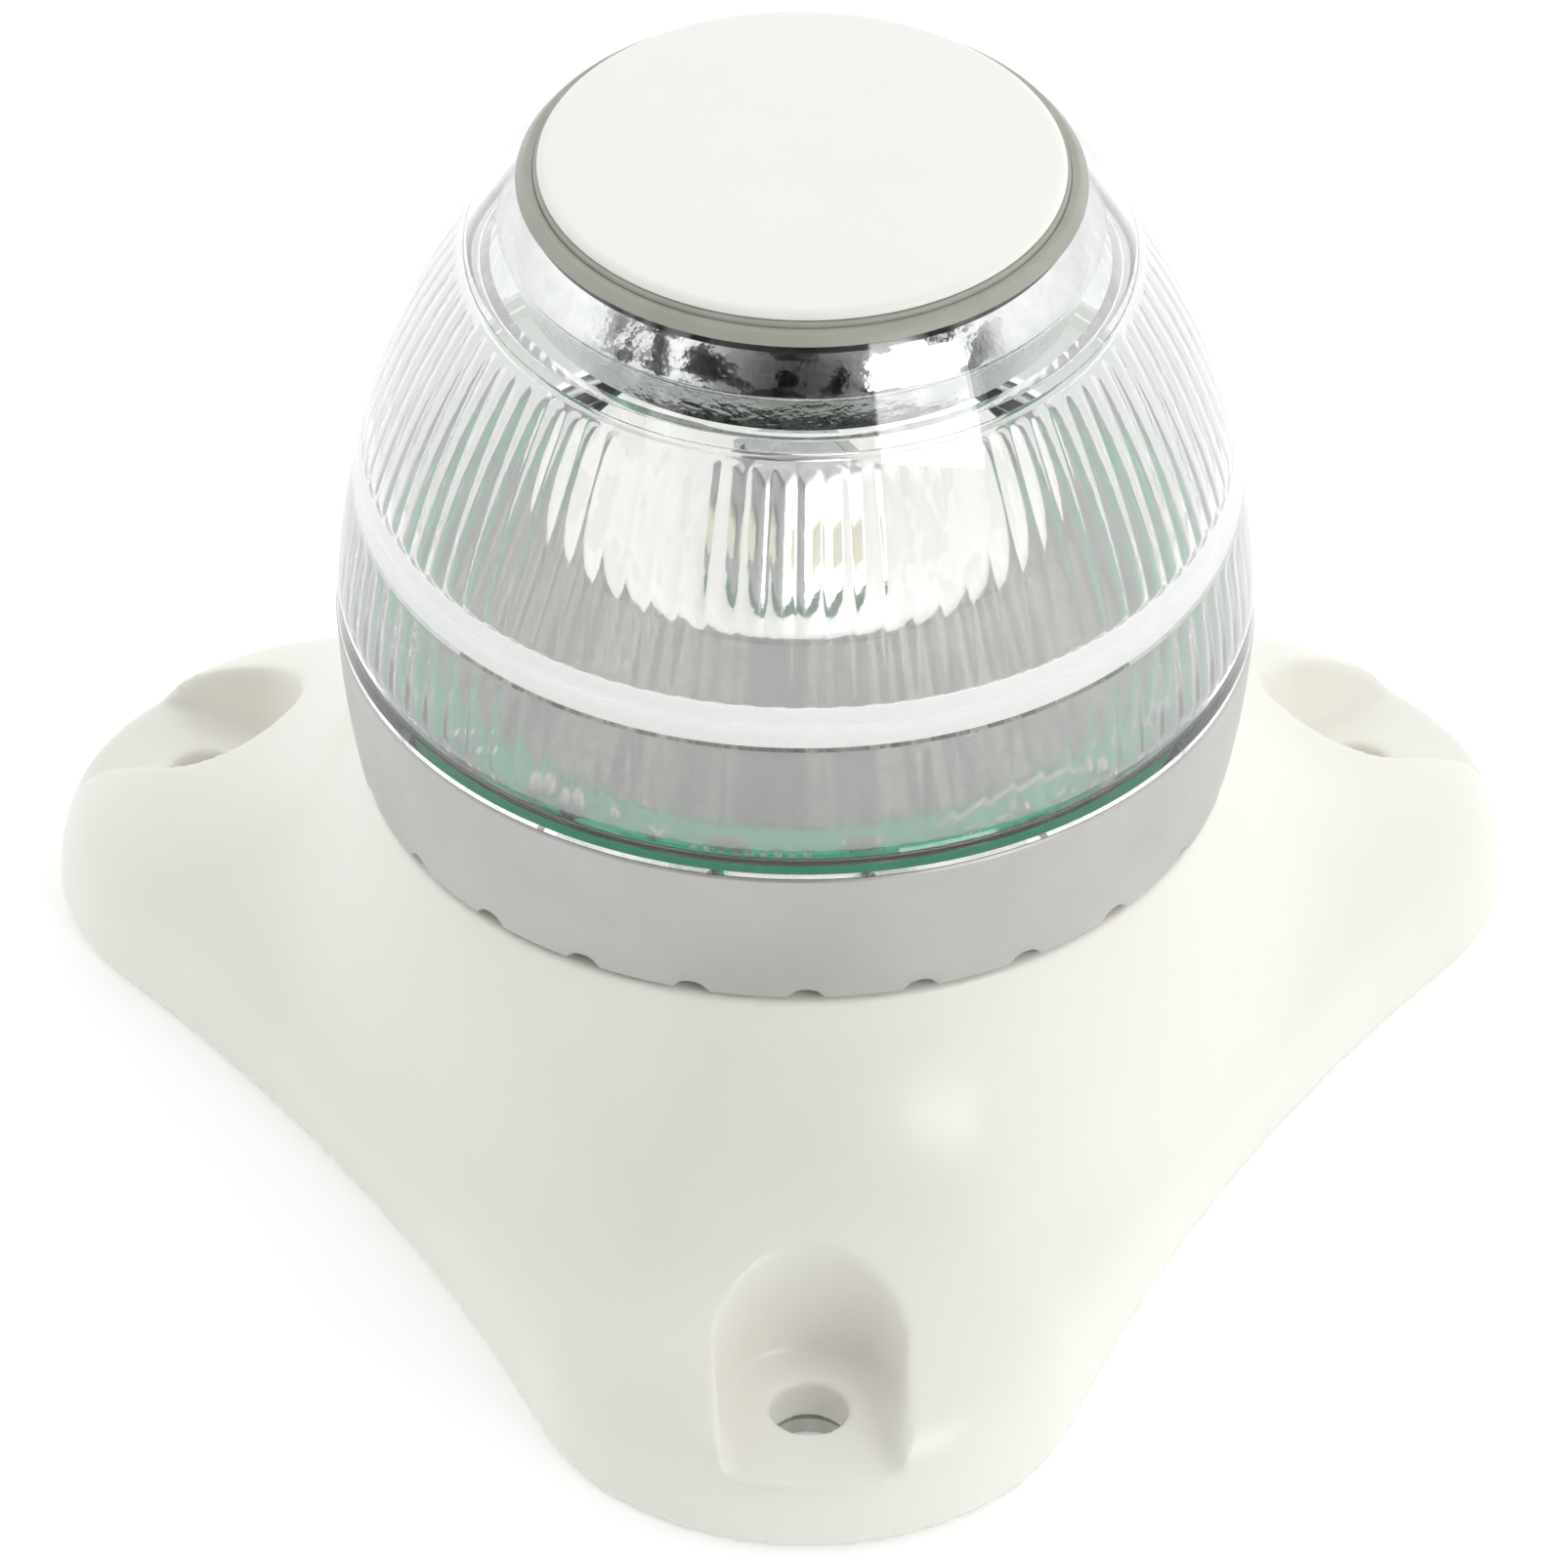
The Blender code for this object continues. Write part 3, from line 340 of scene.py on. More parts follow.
MATERIALS = {
    "white_shell": surface(
        "white_shell", (0.875, 0.865, 0.795), (0.905, 0.895, 0.835), (0.28, 0.32), patch_mm=22,
        grain_mm=0.35, bump=0.03),
    "cap_white": surface(
        "cap_white", (0.90, 0.905, 0.87), (0.93, 0.93, 0.90), (0.30, 0.40), patch_mm=14,
        grain_mm=0.22, bump=0.04),
    "cap_edge": surface(
        "cap_edge", (0.37, 0.38, 0.325), (0.43, 0.44, 0.385), (0.3, 0.42), patch_mm=5,
        grain_mm=0.2, bump=0.06),
    "collar_silver": surface(
        "collar_silver", (0.50, 0.50, 0.485), (0.54, 0.54, 0.525), (0.34, 0.42), patch_mm=9,
        grain_mm=0.12, bump=0.10, metallic=0.50),
    # Painted shade: the dark lip stands in for the shade in the gap between collar and lens.
    "collar_lip_painted_shade": surface(
        "collar_lip_painted_shade", (0.10, 0.10, 0.095), (0.15, 0.15, 0.145), (0.40, 0.50), patch_mm=4,
        grain_mm=0.12, bump=0.10, metallic=0.5),
    "chrome": surface(
        "chrome_face", (0.78, 0.79, 0.79), (0.88, 0.88, 0.88), (0.03, 0.11), patch_mm=1.3,
        grain_mm=0.9, bump=0.10, metallic=1.0),
    "silvered": per_facet(surface(
        "silvered_face", (0.30, 0.29, 0.26), (0.76, 0.74, 0.70), (0.25, 0.45), patch_mm=0.55,
        grain_mm=0.25, bump=0.6, metallic=0.45), FLUTES, 0.60),
    # Painted light: the bowl's emission stands in for the light that falls into it, though it is no
    # lamp.
    "crater": per_facet(surface(
        "crater_face_painted_light", (0.90, 0.90, 0.885), (0.96, 0.96, 0.95), (0.25, 0.40), patch_mm=2.0,
        grain_mm=0.3, bump=0.2, Emission_Color=(1.0, 0.99, 0.97, 1), Emission_Strength=0.36),
        FLUTES, 0.06),
    # Painted light: the board's green emission stands in for light that shows it through the lens.
    "board_green": surface(
        "board_green", (0.005, 0.30, 0.14), (0.012, 0.46, 0.24), (0.35, 0.5), patch_mm=2.2,
        grain_mm=0.3, bump=0.10, Specular_IOR_Level=0.2, Emission_Color=(0.0, 0.75, 0.36, 1),
        Emission_Strength=0.17),
    "solder": surface(
        "solder_face", (0.62, 0.62, 0.60), (0.86, 0.86, 0.84), (0.22, 0.42), patch_mm=0.8,
        grain_mm=0.2, bump=0.3, metallic=0.8),
    "board_white": surface(
        "board_white", (0.90, 0.90, 0.88), (0.96, 0.96, 0.95), (0.25, 0.40), patch_mm=1.6,
        grain_mm=0.2, bump=0.10),
    # Painted light: this finish's emission makes one LED board face look lit by the softbox.
    "board_face_painted_lit": surface(
        "board_face_painted_lit", (0.92, 0.92, 0.90), (0.97, 0.97, 0.96), (0.15, 0.25), patch_mm=1.6,
        grain_mm=0.2, bump=0.10, Emission_Color=(1, 1, 0.98, 1), Emission_Strength=1.10),
    "phosphor": surface(
        "phosphor", (0.88, 0.84, 0.62), (0.93, 0.90, 0.74), (0.25, 0.40), patch_mm=0.8,
        grain_mm=0.15, bump=0.10, Coat_Weight=0.5),
    "tower_metal": surface(
        "tower_metal", (0.55, 0.56, 0.56), (0.72, 0.73, 0.73), (0.28, 0.42), patch_mm=1.5,
        grain_mm=0.2, bump=0.2, metallic=0.9, stretch=(1, 1, 0.15)),
    "screw_metal": surface(
        "screw_metal", (0.52, 0.52, 0.53), (0.68, 0.68, 0.68), (0.22, 0.36), patch_mm=1.2,
        grain_mm=0.2, bump=0.15, metallic=1.0),
    "rubber": surface(
        "rubber", (0.018, 0.018, 0.019), (0.035, 0.035, 0.036), (0.6, 0.8), patch_mm=3,
        grain_mm=0.3, bump=0.25),
    "foam": surface(
        "foam", (0.62, 0.62, 0.60), (0.72, 0.72, 0.70), (0.85, 0.95), patch_mm=1.4,
        grain_mm=0.5, bump=0.7),
    "black_part": surface(
        "black_part", (0.02, 0.02, 0.021), (0.045, 0.045, 0.046), (0.35, 0.5), patch_mm=1.5,
        grain_mm=0.2, bump=0.15),
    "grey_part": surface(
        "grey_part", (0.30, 0.31, 0.32), (0.38, 0.39, 0.40), (0.4, 0.55), patch_mm=3,
        grain_mm=0.25, bump=0.12),
    "red_wire": surface(
        "red_wire", (0.42, 0.015, 0.012), (0.58, 0.03, 0.025), (0.35, 0.5), patch_mm=2,
        grain_mm=0.2, bump=0.08),
    "black_wire": surface(
        "black_wire", (0.015, 0.015, 0.016), (0.03, 0.03, 0.031), (0.35, 0.5), patch_mm=2,
        grain_mm=0.2, bump=0.08),
    "white_wire": surface(
        "white_wire", (0.78, 0.78, 0.75), (0.88, 0.88, 0.86), (0.3, 0.45), patch_mm=2,
        grain_mm=0.2, bump=0.08),
    "lens_clear": clear_plastic(
        "lens_clear", (0.965, 0.98, 0.973), (0.0, 0.02), 1.0, 0.01, 3.0, coat=0.3),
    # Painted light: the fluted, low and belt bands emit light, most strongly on the belt, to stand
    # in for light passing through them.
    "lens_flute_painted_light": clear_plastic(
        "lens_flute_painted_light", (0.985, 0.985, 0.975), (0.05, 0.12), 0.72, 0.08, 0.7, painted_emission=0.12),
    "lens_low_painted_light": clear_plastic(
        "lens_low_painted_light", (0.95, 0.955, 0.935), (0.06, 0.14), 0.52, 0.08, 0.7, painted_emission=0.03),
    "lens_belt_painted_light": clear_plastic(
        "lens_belt_painted_light", (1.0, 1.0, 0.985), (0.30, 0.38), 0.05, 0.03, 0.8, painted_emission=0.26),
}


# ---------------------------------------------------------------- shape helpers


def polar(radius, degrees):
    return (radius * math.cos(math.radians(degrees)), radius * math.sin(math.radians(degrees)))


def object_of(name, mesh, finish):
    obj = bpy.data.objects.new(name, mesh)
    bpy.context.scene.collection.objects.link(obj)
    for each in finish if isinstance(finish, tuple) else (finish,):
        mesh.materials.append(MATERIALS[each])
    return obj


def smooth(mesh, degrees=35):
    mesh.shade_smooth()
    mesh.set_sharp_from_angle(angle=math.radians(degrees))


def ring_mesh(name, points, finish, closed=True, sharp=35, slots=None):
    """Surface through rows of ring points, points[row][column].

    A closed one joins its last row to its first, an open one is capped by a fan at each end.
    Slots gives each row's material number.
    """
    points = np.asarray(points, float)
    rows, columns, _ = points.shape
    faces, numbers = [], []
    last = rows if closed else rows - 1
    for i in range(last):
        low, high = i * columns, ((i + 1) % rows) * columns
        for j in range(columns):
            k = (j + 1) % columns
            faces.append((low + j, high + j, high + k, low + k))
            numbers.append(slots[i] if slots else 0)
    vertices = points.reshape(-1, 3).tolist()
    if not closed:
        for start, turned_over in ((0, True), ((rows - 1) * columns, False)):
            ring = points.reshape(-1, 3)[start:start + columns]
            vertices.append(ring.mean(0).tolist())
            for j in range(columns):
                k = (j + 1) % columns
                a, b = start + j, start + k
                middle = len(vertices) - 1
                faces.append((middle, a, b) if turned_over else (middle, b, a))
                numbers.append(0)
    mesh = bpy.data.meshes.new(name)
    mesh.from_pydata(vertices, [], faces)
    obj = object_of(name, mesh, finish)
    mesh.polygons.foreach_set("material_index", numbers)
    mesh.update()
    bm = bmesh.new()
    bm.from_mesh(mesh)
    bmesh.ops.remove_doubles(bm, verts=bm.verts, dist=WELD)
    bmesh.ops.recalc_face_normals(bm, faces=bm.faces)
    bm.to_mesh(mesh)
    bm.free()
    smooth(mesh, sharp)
    return obj


def turned(name, profile, finish, steps, closed=True, sharp=35, slots=None):
    """Solid of revolution about the light's axis."""
    angles = np.linspace(0, 2 * math.pi, steps, endpoint=False)
    rows = [[(r * math.cos(a), r * math.sin(a), z) for a in angles] for r, z in profile]
    return ring_mesh(name, rows, finish, closed, sharp, slots)


def rounded(profile, radius, segments):
    """Closed (r, z) profile with every corner replaced by a short curve."""
    points = [Vector(p) for p in profile]
    result = []
    for i, corner in enumerate(points):
        before, after = points[i - 1], points[(i + 1) % len(points)]
        back = min(radius, (before - corner).length * 0.45)
        ahead = min(radius, (after - corner).length * 0.45)
        start = corner + (before - corner).normalized() * back
        end = corner + (after - corner).normalized() * ahead
        for step in range(segments + 1):
            t = step / segments
            result.append(tuple(start * (1 - t) ** 2 + corner * 2 * t * (1 - t) + end * t**2))
    return result


def apply_modifiers(obj):
    graph = bpy.context.evaluated_depsgraph_get()
    mesh = bpy.data.meshes.new_from_object(obj.evaluated_get(graph))
    obj.modifiers.clear()
    obj.data = mesh


def cut(obj, cutter):
    """Takes the cutter out of the object and removes it."""
    modifier = obj.modifiers.new(cutter.name, "BOOLEAN")
    modifier.operation = "DIFFERENCE"
    modifier.solver = "EXACT"
    modifier.object = cutter
    apply_modifiers(obj)
    bpy.data.objects.remove(cutter, do_unlink=True)


def cylinder(name, radius, low, high, at):
    bm = bmesh.new()
    bmesh.ops.create_cone(bm, cap_ends=True, segments=64, depth=high - low, radius1=radius,
                          radius2=radius, matrix=Matrix.Translation((*at, (low + high) / 2)))
    mesh = bpy.data.meshes.new(name)
    bm.to_mesh(mesh)
    bm.free()
    smooth(mesh)
    return object_of(name, mesh, "white_shell")


# ---------------------------------------------------------------- base


def outline_radius(degrees, inset):
    """Distance from the axis to the base outline in one direction, moved inwards by inset."""
    off = math.radians(min(abs((degrees - lobe + 180) % 360 - 180) for lobe in LOBES))
    half = math.radians(60)
    rho = TIP_CENTRE**2 + WAIST_R**2 - TIP_CENTRE * WAIST_R - TIP_R**2
    rho /= 2 * TIP_R + TIP_CENTRE - 2 * WAIST_R
    hollow = WAIST_R + rho
    tip = Vector((TIP_CENTRE, 0))
    centre = Vector((hollow * math.cos(half), hollow * math.sin(half)))
    meeting = tip + (centre - tip).normalized() * (TIP_R - inset)
    if off < math.atan2(meeting.y, meeting.x):
        across = TIP_CENTRE * math.sin(off)
        return TIP_CENTRE * math.cos(off) + math.sqrt((TIP_R - inset) ** 2 - across**2)
    across = hollow * math.sin(half - off)
    return hollow * math.cos(half - off) - math.sqrt((rho + inset) ** 2 - across**2)


def sweep_point(t, degrees, top_r, top_z, inset):
    """Radius and height on the base's flank, from the top (t = 0) to the foot (t = 1).

    The handles of this cubic curve change smoothly between the middle of a lobe and the waist.
    """
    off = min(abs((degrees - lobe + 180) % 360 - 180) for lobe in LOBES)
    lobe = (1 + math.cos(math.radians(3 * off))) / 2
    out = SWEEP_OUT[1] + (SWEEP_OUT[0] - SWEEP_OUT[1]) * lobe
    down = SWEEP_DOWN[1] + (SWEEP_DOWN[0] - SWEEP_DOWN[1]) * lobe
    edge = SWEEP_EDGE[1] + (SWEEP_EDGE[0] - SWEEP_EDGE[1]) * lobe
    foot = outline_radius(degrees, inset)
    reach = foot - top_r
    radii = (top_r, top_r + out * reach, foot, foot)
    heights = (BASE_TOP_Z, BASE_TOP_Z - down, edge, 0.0)
    weights = ((1 - t) ** 3, 3 * (1 - t) ** 2 * t, 3 * (1 - t) * t * t, t**3)
    radius = sum(w * r for w, r in zip(weights, radii))
    height = sum(w * z for w, z in zip(weights, heights)) * top_z / BASE_TOP_Z
    return radius, height


def swept_body(name, columns, rings, inset=0.0, top_r=BASE_TOP_R, top_z=BASE_TOP_Z, foot_z=0.0):
    """Solid under the base's flank, or the same shape moved inwards by a wall."""
    directions = [i * 360 / columns for i in range(columns)]
    rows = []
    for step in range(rings + 1):
        row = []
        for degrees in directions:
            radius, height = sweep_point(step / rings, degrees, top_r, top_z, inset)
            row.append((*polar(radius, degrees), height + foot_z))
        rows.append(row)
    return ring_mesh(name, rows, "white_shell", closed=False)


def plate(name, inset, low, high, columns):
    """Flat cutter with the base's outline."""
    directions = [i * 360 / columns for i in range(columns)]
    rows = [
        [(*polar(outline_radius(d, inset), d), z) for d in directions]
        for z in (high, low)
    ]
    return ring_mesh(name, rows, "white_shell", closed=False)


def channel(name, lobe, radius, top_radius, low, high):
    """Upright round cutter at a screw hole that runs out past the lobe's edge."""
    arc = [math.radians(90 + i * 180 / 48) for i in range(49)]
    turn = math.radians(lobe)
    rows = []
    for r, z in ((top_radius, high), (radius, low)):
        row = [(r * math.cos(a), r * math.sin(a)) for a in arc]
        row = [(CHANNEL_REACH, r), *row, (CHANNEL_REACH, -r)]
        rows.append([
            ((HOLE_CIRCLE_R + x) * math.cos(turn) - y * math.sin(turn),
             (HOLE_CIRCLE_R + x) * math.sin(turn) + y * math.cos(turn), z)
            for x, y in row
        ])
    return ring_mesh(name, rows, "white_shell", closed=False)


def make_base():
    """Moulded shell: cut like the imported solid, then remeshed to round every edge softly."""
    base = swept_body("base_shell", *BASE_STEPS)
    chamber = swept_body("chamber", *CHAMBER_STEPS, WALL, BASE_TOP_R - WALL,
                         BASE_TOP_Z - PLATE - GASKET_T, GASKET_T)
    for lobe in LOBES:
        cut(chamber, channel("boss", lobe, BOSS_R, BOSS_R, -MM, BASE_TOP_Z))
    cut(base, plate("gasket_seat", GASKET_INSET, -MM, GASKET_T + GAP, 144))
    cut(base, chamber)
    for lobe in LOBES:
        cut(base, channel("pocket", lobe, POCKET_R, POCKET_R_TOP, SEAT_Z, POCKET_TOP_Z))
        spot = polar(HOLE_CIRCLE_R, lobe)
        cut(base, cylinder("hole", HOLE_R, -MM, 2 * SEAT_Z, spot))
    remesh = base.modifiers.new("remesh", "REMESH")
    remesh.mode = "VOXEL"
    remesh.voxel_size = VOXEL
    apply_modifiers(base)
    relax = base.modifiers.new("relax", "SMOOTH")
    relax.iterations = 3
    relax.factor = 0.5
    apply_modifiers(base)
    base.data.materials.clear()
    base.data.materials.append(MATERIALS["white_shell"])
    base.data.shade_smooth()
    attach(base, "base")
    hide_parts("mounting_base")


# ---------------------------------------------------------------- collar


def notch_lift(angles):
    """How far the collar's lower rim rises at each angle: evenly spaced half-ellipse notches."""
    step = 2 * math.pi / NOTCHES
    off = (angles + math.pi / 2 + step / 2) % step - step / 2
    reach = np.abs(off) * COLLAR_FOOT_R / NOTCH_HALF_WIDTH
    return NOTCH_HEIGHT * np.sqrt(np.clip(1 - reach**2, 0, 1))


def make_collar():
    """Silver ring: slightly bulged wall, bright turned edge, a lip darkened as painted shade, arc
    notches along the lower rim.
    """
    columns = 720
    low, high = COLLAR_LOW.z, COLLAR_HIGH.z
    angles = np.linspace(0, 2 * math.pi, columns, endpoint=False) - math.pi / 2
    lift = notch_lift(angles)
    profile = []
    for i in range(25):
        t = i / 24
        taper = COLLAR_TOP_R + (COLLAR_FOOT_R - COLLAR_TOP_R) * t
        profile.append((taper + COLLAR_BULGE * math.sin(math.pi * t), high + (low - high) * t))
    # Small rounds on the wall's upper and lower edges.
    profile[0] = (COLLAR_TOP_R - 0.35 * MM, high)
    profile.insert(1, (COLLAR_TOP_R - 0.12 * MM, high - 0.06 * MM))
    profile.insert(2, (COLLAR_TOP_R - 0.01 * MM, high - 0.25 * MM))
    profile[-1] = (COLLAR_FOOT_R - 0.25 * MM, low)
    profile.insert(-1, (COLLAR_FOOT_R - 0.03 * MM, low + 0.18 * MM))
    profile += [
        (COLLAR_BORE_R, low), (COLLAR_BORE_R, COLLAR_BORE_TOP_Z), (FLANGE_R, FLANGE_LOW_Z),
        (FLANGE_R, FLANGE_HIGH_Z), (FLANGE_MOUTH_R, FLANGE_HIGH_Z),
        (FLANGE_MOUTH_R, high - LIP_DEPTH), (COLLAR_TOP_R - LIP_T, high - LIP_DEPTH),
        (COLLAR_TOP_R - LIP_T, high - 0.05 * MM),
    ]
    rows, slots = [], []
    for r, z in profile:
        # Rows on the inner lip take the dark finish: painted shade in the gap under the lens.
        in_painted_shade_lip = z > high - LIP_DEPTH - 0.05 * MM and r < COLLAR_TOP_R - 0.2 * MM
        slots.append(1 if in_painted_shade_lip else 0)
        on_wall = r > COLLAR_BORE_R + 0.1 * MM
        share = np.clip((low + NOTCH_FADE - z) / NOTCH_FADE, 0, 1) if on_wall else 1.0
        rise = lift * share if z < low + MM else 0 * lift
        rows.append(np.stack([r * np.cos(angles), r * np.sin(angles), z + rise], -1))
    finishes = ("collar_silver", "collar_lip_painted_shade")
    collar = ring_mesh("collar_shell", rows, finishes, sharp=28, slots=slots)
    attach(collar, "collar")
    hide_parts("collar_ring")
    make_lugs()


def make_lugs():
    """Three short sloping ribs in the collar's bore, under the ramps of the neck."""
    first, last = LUG_ANGLES
    shoulder = LUG_TIP_R + LUG_CHAMFER
    foot = RAMP_FOOT_Z - GAP - LUG_HEIGHT + THREAD_LEAD * first / 360
    for number in range(3):
        rings = []
        for i in range(13):
            turn = (last - first) * i / 12
            degrees = 120 * number + first + turn
            low = foot + THREAD_LEAD * turn / 360
            high = low + LUG_HEIGHT
            rings.append([
                (*polar(LUG_TIP_R, degrees), low + LUG_CHAMFER), (*polar(shoulder, degrees), low),
                (*polar(LUG_ROOT_R, degrees), low), (*polar(LUG_ROOT_R, degrees), high),
                (*polar(shoulder, degrees), high), (*polar(LUG_TIP_R, degrees), high - LUG_CHAMFER),
            ])
        lug = ring_mesh(f"collar_lug_{number + 1}", rings, "collar_silver", closed=False)
        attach(lug, "collar")


# ---------------------------------------------------------------- lens and cap


def lens_radius(z, inset=0.0):
    return LENS_ARC_X + math.sqrt((LENS_ARC_R - inset) ** 2 - (z - LENS_ARC_Z) ** 2)


def flute_relief(z, angles):
    """How far the inner face is cut back: shallow rounded grooves side by side in two bands."""
    pitch = 2 * math.pi / FLUTES
    across = np.abs(((angles + pitch / 2) % pitch) / pitch * 2 - 1)
    for low, high in (UPPER_FLUTES, LOWER_FLUTES):
        if low <= z <= high:
            near = min(z - low, high - z)
            short = max(0.0, 1 - near / FLUTE_END)
            fill = math.sqrt(max(0.0, 1 - short**2))
            return FLUTE_DEPTH * np.clip(fill - across**2, 0, 1)
    return 0 * angles


def make_lens():
    """Dome: smooth arc outside; flutes, a smooth belt, a ring and a ledge inside."""
    columns = FLUTES * 12
    angles = np.linspace(0, 2 * math.pi, columns, endpoint=False) - math.pi / 2
    profile, slots = [], []

    def add(r, z, material=CLEAR, fluted=False):
        profile.append((r, z, fluted))
        slots.append(material)

    # Outside: the rim against the cap, a small round, then the arc down to the collar.
    rim_r = lens_radius(LENS_RIM_Z)
    add(CAP_R + 0.05 * MM, LENS_RIM_Z, RIM)
    add(rim_r - 0.08 * MM, LENS_RIM_Z, RIM)
    add(rim_r - 0.015 * MM, LENS_RIM_Z - 0.04 * MM, RIM)
    for z in (LENS_RIM_Z - 0.12 * MM, LENS_RIM_Z - 0.4 * MM):
        add(lens_radius(z), z, RIM)
    for z in np.linspace(LENS_RIM_Z - LENS_RIM_BAND, LENS_BOTTOM_Z, 56):
        add(lens_radius(z), z)
    for r, z in LENS_SKIRT:
        add(r * MM, z * MM)
    # Inside, upwards: rows close together wherever the wall changes.
    heights = [np.linspace(LENS_INSIDE_Z, LENS_LEDGE_Z - 0.35 * MM, 58)]
    ends = np.array((0.0, 0.1, 0.25, 0.5, 0.8, 1.1))
    for low, high in (UPPER_FLUTES, LOWER_FLUTES):
        heights += [low + ends * MM, high - ends * MM]
    heights += [RING_Z + np.array([-0.25, -0.12, 0.0, 0.12, 0.25]) * MM]
    heights += [BELT_GROOVE_Z + np.array([-0.14, -0.05, 0.05, 0.14]) * MM]
    heights += [np.array(BELT) + np.array(e) * MM for e in ((-0.1, 0.1), (0.1, -0.1))]
    for z in np.unique(np.concatenate(heights).round(7)):
        belt = BELT[0] <= z <= BELT[1]
        fluted = any(a <= z <= b for a, b in (UPPER_FLUTES, LOWER_FLUTES))
        thicker = BELT_RISE if belt and abs(z - BELT_GROOVE_Z) > BELT_GROOVE_HALF else 0.0
        thicker += RING_RISE * max(0.0, 1 - (abs(z - RING_Z) / RING_HALF) ** 2)
        finish = CLEAR
        if belt:
            finish = BELTED
        elif fluted:
            finish = FLUTED if z > BELT[1] else FLUTED_LOW
        add(lens_radius(z, LENS_T + thicker), z, finish, fluted)
    # The ledge under the thinner wall, then that wall up to the opening under the cap.
    for t in (0.0, 0.15, 0.4, 0.7, 0.9, 1.0):
        inset = LENS_T + (LENS_THIN_T - LENS_T) * t
        z = LENS_LEDGE_Z + (-0.3 + 0.35 * t**3) * MM
        add(lens_radius(z, inset), z)
    across = LENS_OPENING_R - LENS_ARC_X
    opening_z = LENS_ARC_Z + math.sqrt((LENS_ARC_R - LENS_THIN_T) ** 2 - across**2)
    for z in np.linspace(LENS_LEDGE_Z + 0.3 * MM, opening_z, 10):
        add(lens_radius(z, LENS_THIN_T), z)
    add(LENS_OPENING_R, LENS_RIM_Z - 0.4 * MM, RIM)
    add(CAP_R + 0.04 * MM, LENS_RIM_Z - 0.3 * MM, RIM)
    rows = []
    for r, z, fluted in profile:
        radius = r + (flute_relief(z, angles) if fluted else 0 * angles)
        height = 0 * angles + z
        rows.append(np.stack([radius * np.cos(angles), radius * np.sin(angles), height], -1))
    lens = ring_mesh("lens_shell", rows, LENS_FINISHES, sharp=24, slots=slots)
    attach(lens, "lens")
    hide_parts("lens_dome")


def make_cap():
    """White disc with a rounded edge over a grey-green side band, and a stem down to the hub."""
    top, under = CAP_HIGH.z, CAP_UNDER_Z
    face = []
    for i in range(25):
        t = max(i / 24, 0.02)
        face.append((t * CAP_FLAT_R, top - CAP_CROWN * t**2))
    for i in range(1, 11):
        a = math.radians(90 * i / 10)
        face.append((CAP_FLAT_R + CAP_EDGE_R * math.sin(a),
                     top - CAP_CROWN - CAP_EDGE_Z * (1 - math.cos(a))))
    seam = face[-1][1] - 0.06 * MM
    face += [(CAP_R - 0.35 * MM, seam), (0.4 * MM, seam)]
    disc = turned("cap_face", face, "cap_white", 256, closed=False, sharp=30)
    band_in, band_top = CAP_R - CAP_BAND_T, seam - 0.05 * MM
    rim = turned("cap_band", rounded([
        (CAP_R - 0.14 * MM, band_top), (CAP_R, seam - 0.22 * MM), (CAP_R, under), (band_in, under),
        (band_in, band_top),
    ], 0.1 * MM, 3), "cap_edge", 256)
    web_out, web_in, web_top = band_in - 0.1 * MM, CAP_STEM_R - MM, seam - 0.1 * MM
    web = turned("cap_web", rounded([
        (web_out, web_top), (web_out, under), (web_in, under), (web_in, web_top),
    ], 0.1 * MM, 2), "cap_white", 128)
    stem = turned("cap_stem", rounded([
        (CAP_STEM_R, under), (CAP_STEM_R, CAP_LOW.z), (CAP_STEM_CORE_R, CAP_LOW.z),
        (CAP_STEM_CORE_R, under),
    ], 0.4 * MM, 3), "cap_white", 64)
    for piece in (disc, rim, stem, web):
        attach(piece, "lens")
    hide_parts("top_cap")


def make_top_reflector():
    """Chromed band under the lens shoulder that turns in to a smooth cone over the LEDs."""
    tip_z = CONE_LOW.z + 0.5 * MM
    outer = [(r * MM, z * MM) for r, z in CHROME_BAND]
    last_r, last_z = CHROME_BAND[-1][0] * MM, CHROME_BAND[-1][1] * MM
    for i in range(1, 8):
        t = i / 8
        outer.append((last_r + (CHROME_TURN_R - last_r) * t, last_z + (CHROME_TURN_Z - last_z) * t))
    for i in range(41):
        t = i / 40
        outer.append((CHROME_TURN_R + (CHROME_TIP_R - CHROME_TURN_R) * t**0.9,
                      CHROME_TURN_Z + (tip_z - CHROME_TURN_Z) * t))
    outer += [(1.0 * MM, CONE_LOW.z + 0.1 * MM), (CHROME_TIP_CORE_R, CONE_LOW.z)]
    inner = [(CHROME_TIP_CORE_R, HUB_LOW_Z), (HUB_R, HUB_LOW_Z), (HUB_R, HUB_HIGH_Z),
             (HUB_R + MM, HUB_HIGH_Z)]
    inner += [(r * MM, z * MM) for r, z in CHROME_HOLLOW]
    cone = turned("chrome_cone", outer + inner, "chrome", 288, sharp=30)
    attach(cone, "lens")
    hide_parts("top_reflector")


# ---------------------------------------------------------------- inside the lens


def make_lower_reflector():
    """Crater: silvered facets outside, a bright bowl inside whose emission is painted light, hollow
    underneath.
    """
    silvered_rows = CRATER_OUTSIDE + CRATER_UNDERSIDE
    profile = [(r * MM, z * MM) for r, z in silvered_rows + CRATER_INSIDE]
    slots = [0] * (len(silvered_rows) - 1) + [1] * (len(CRATER_INSIDE) + 1)
    cone = turned("crater_shell", profile, ("silvered", "crater"), 288, sharp=40, slots=slots)
    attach(cone, "base")
    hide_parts("lower_reflector")


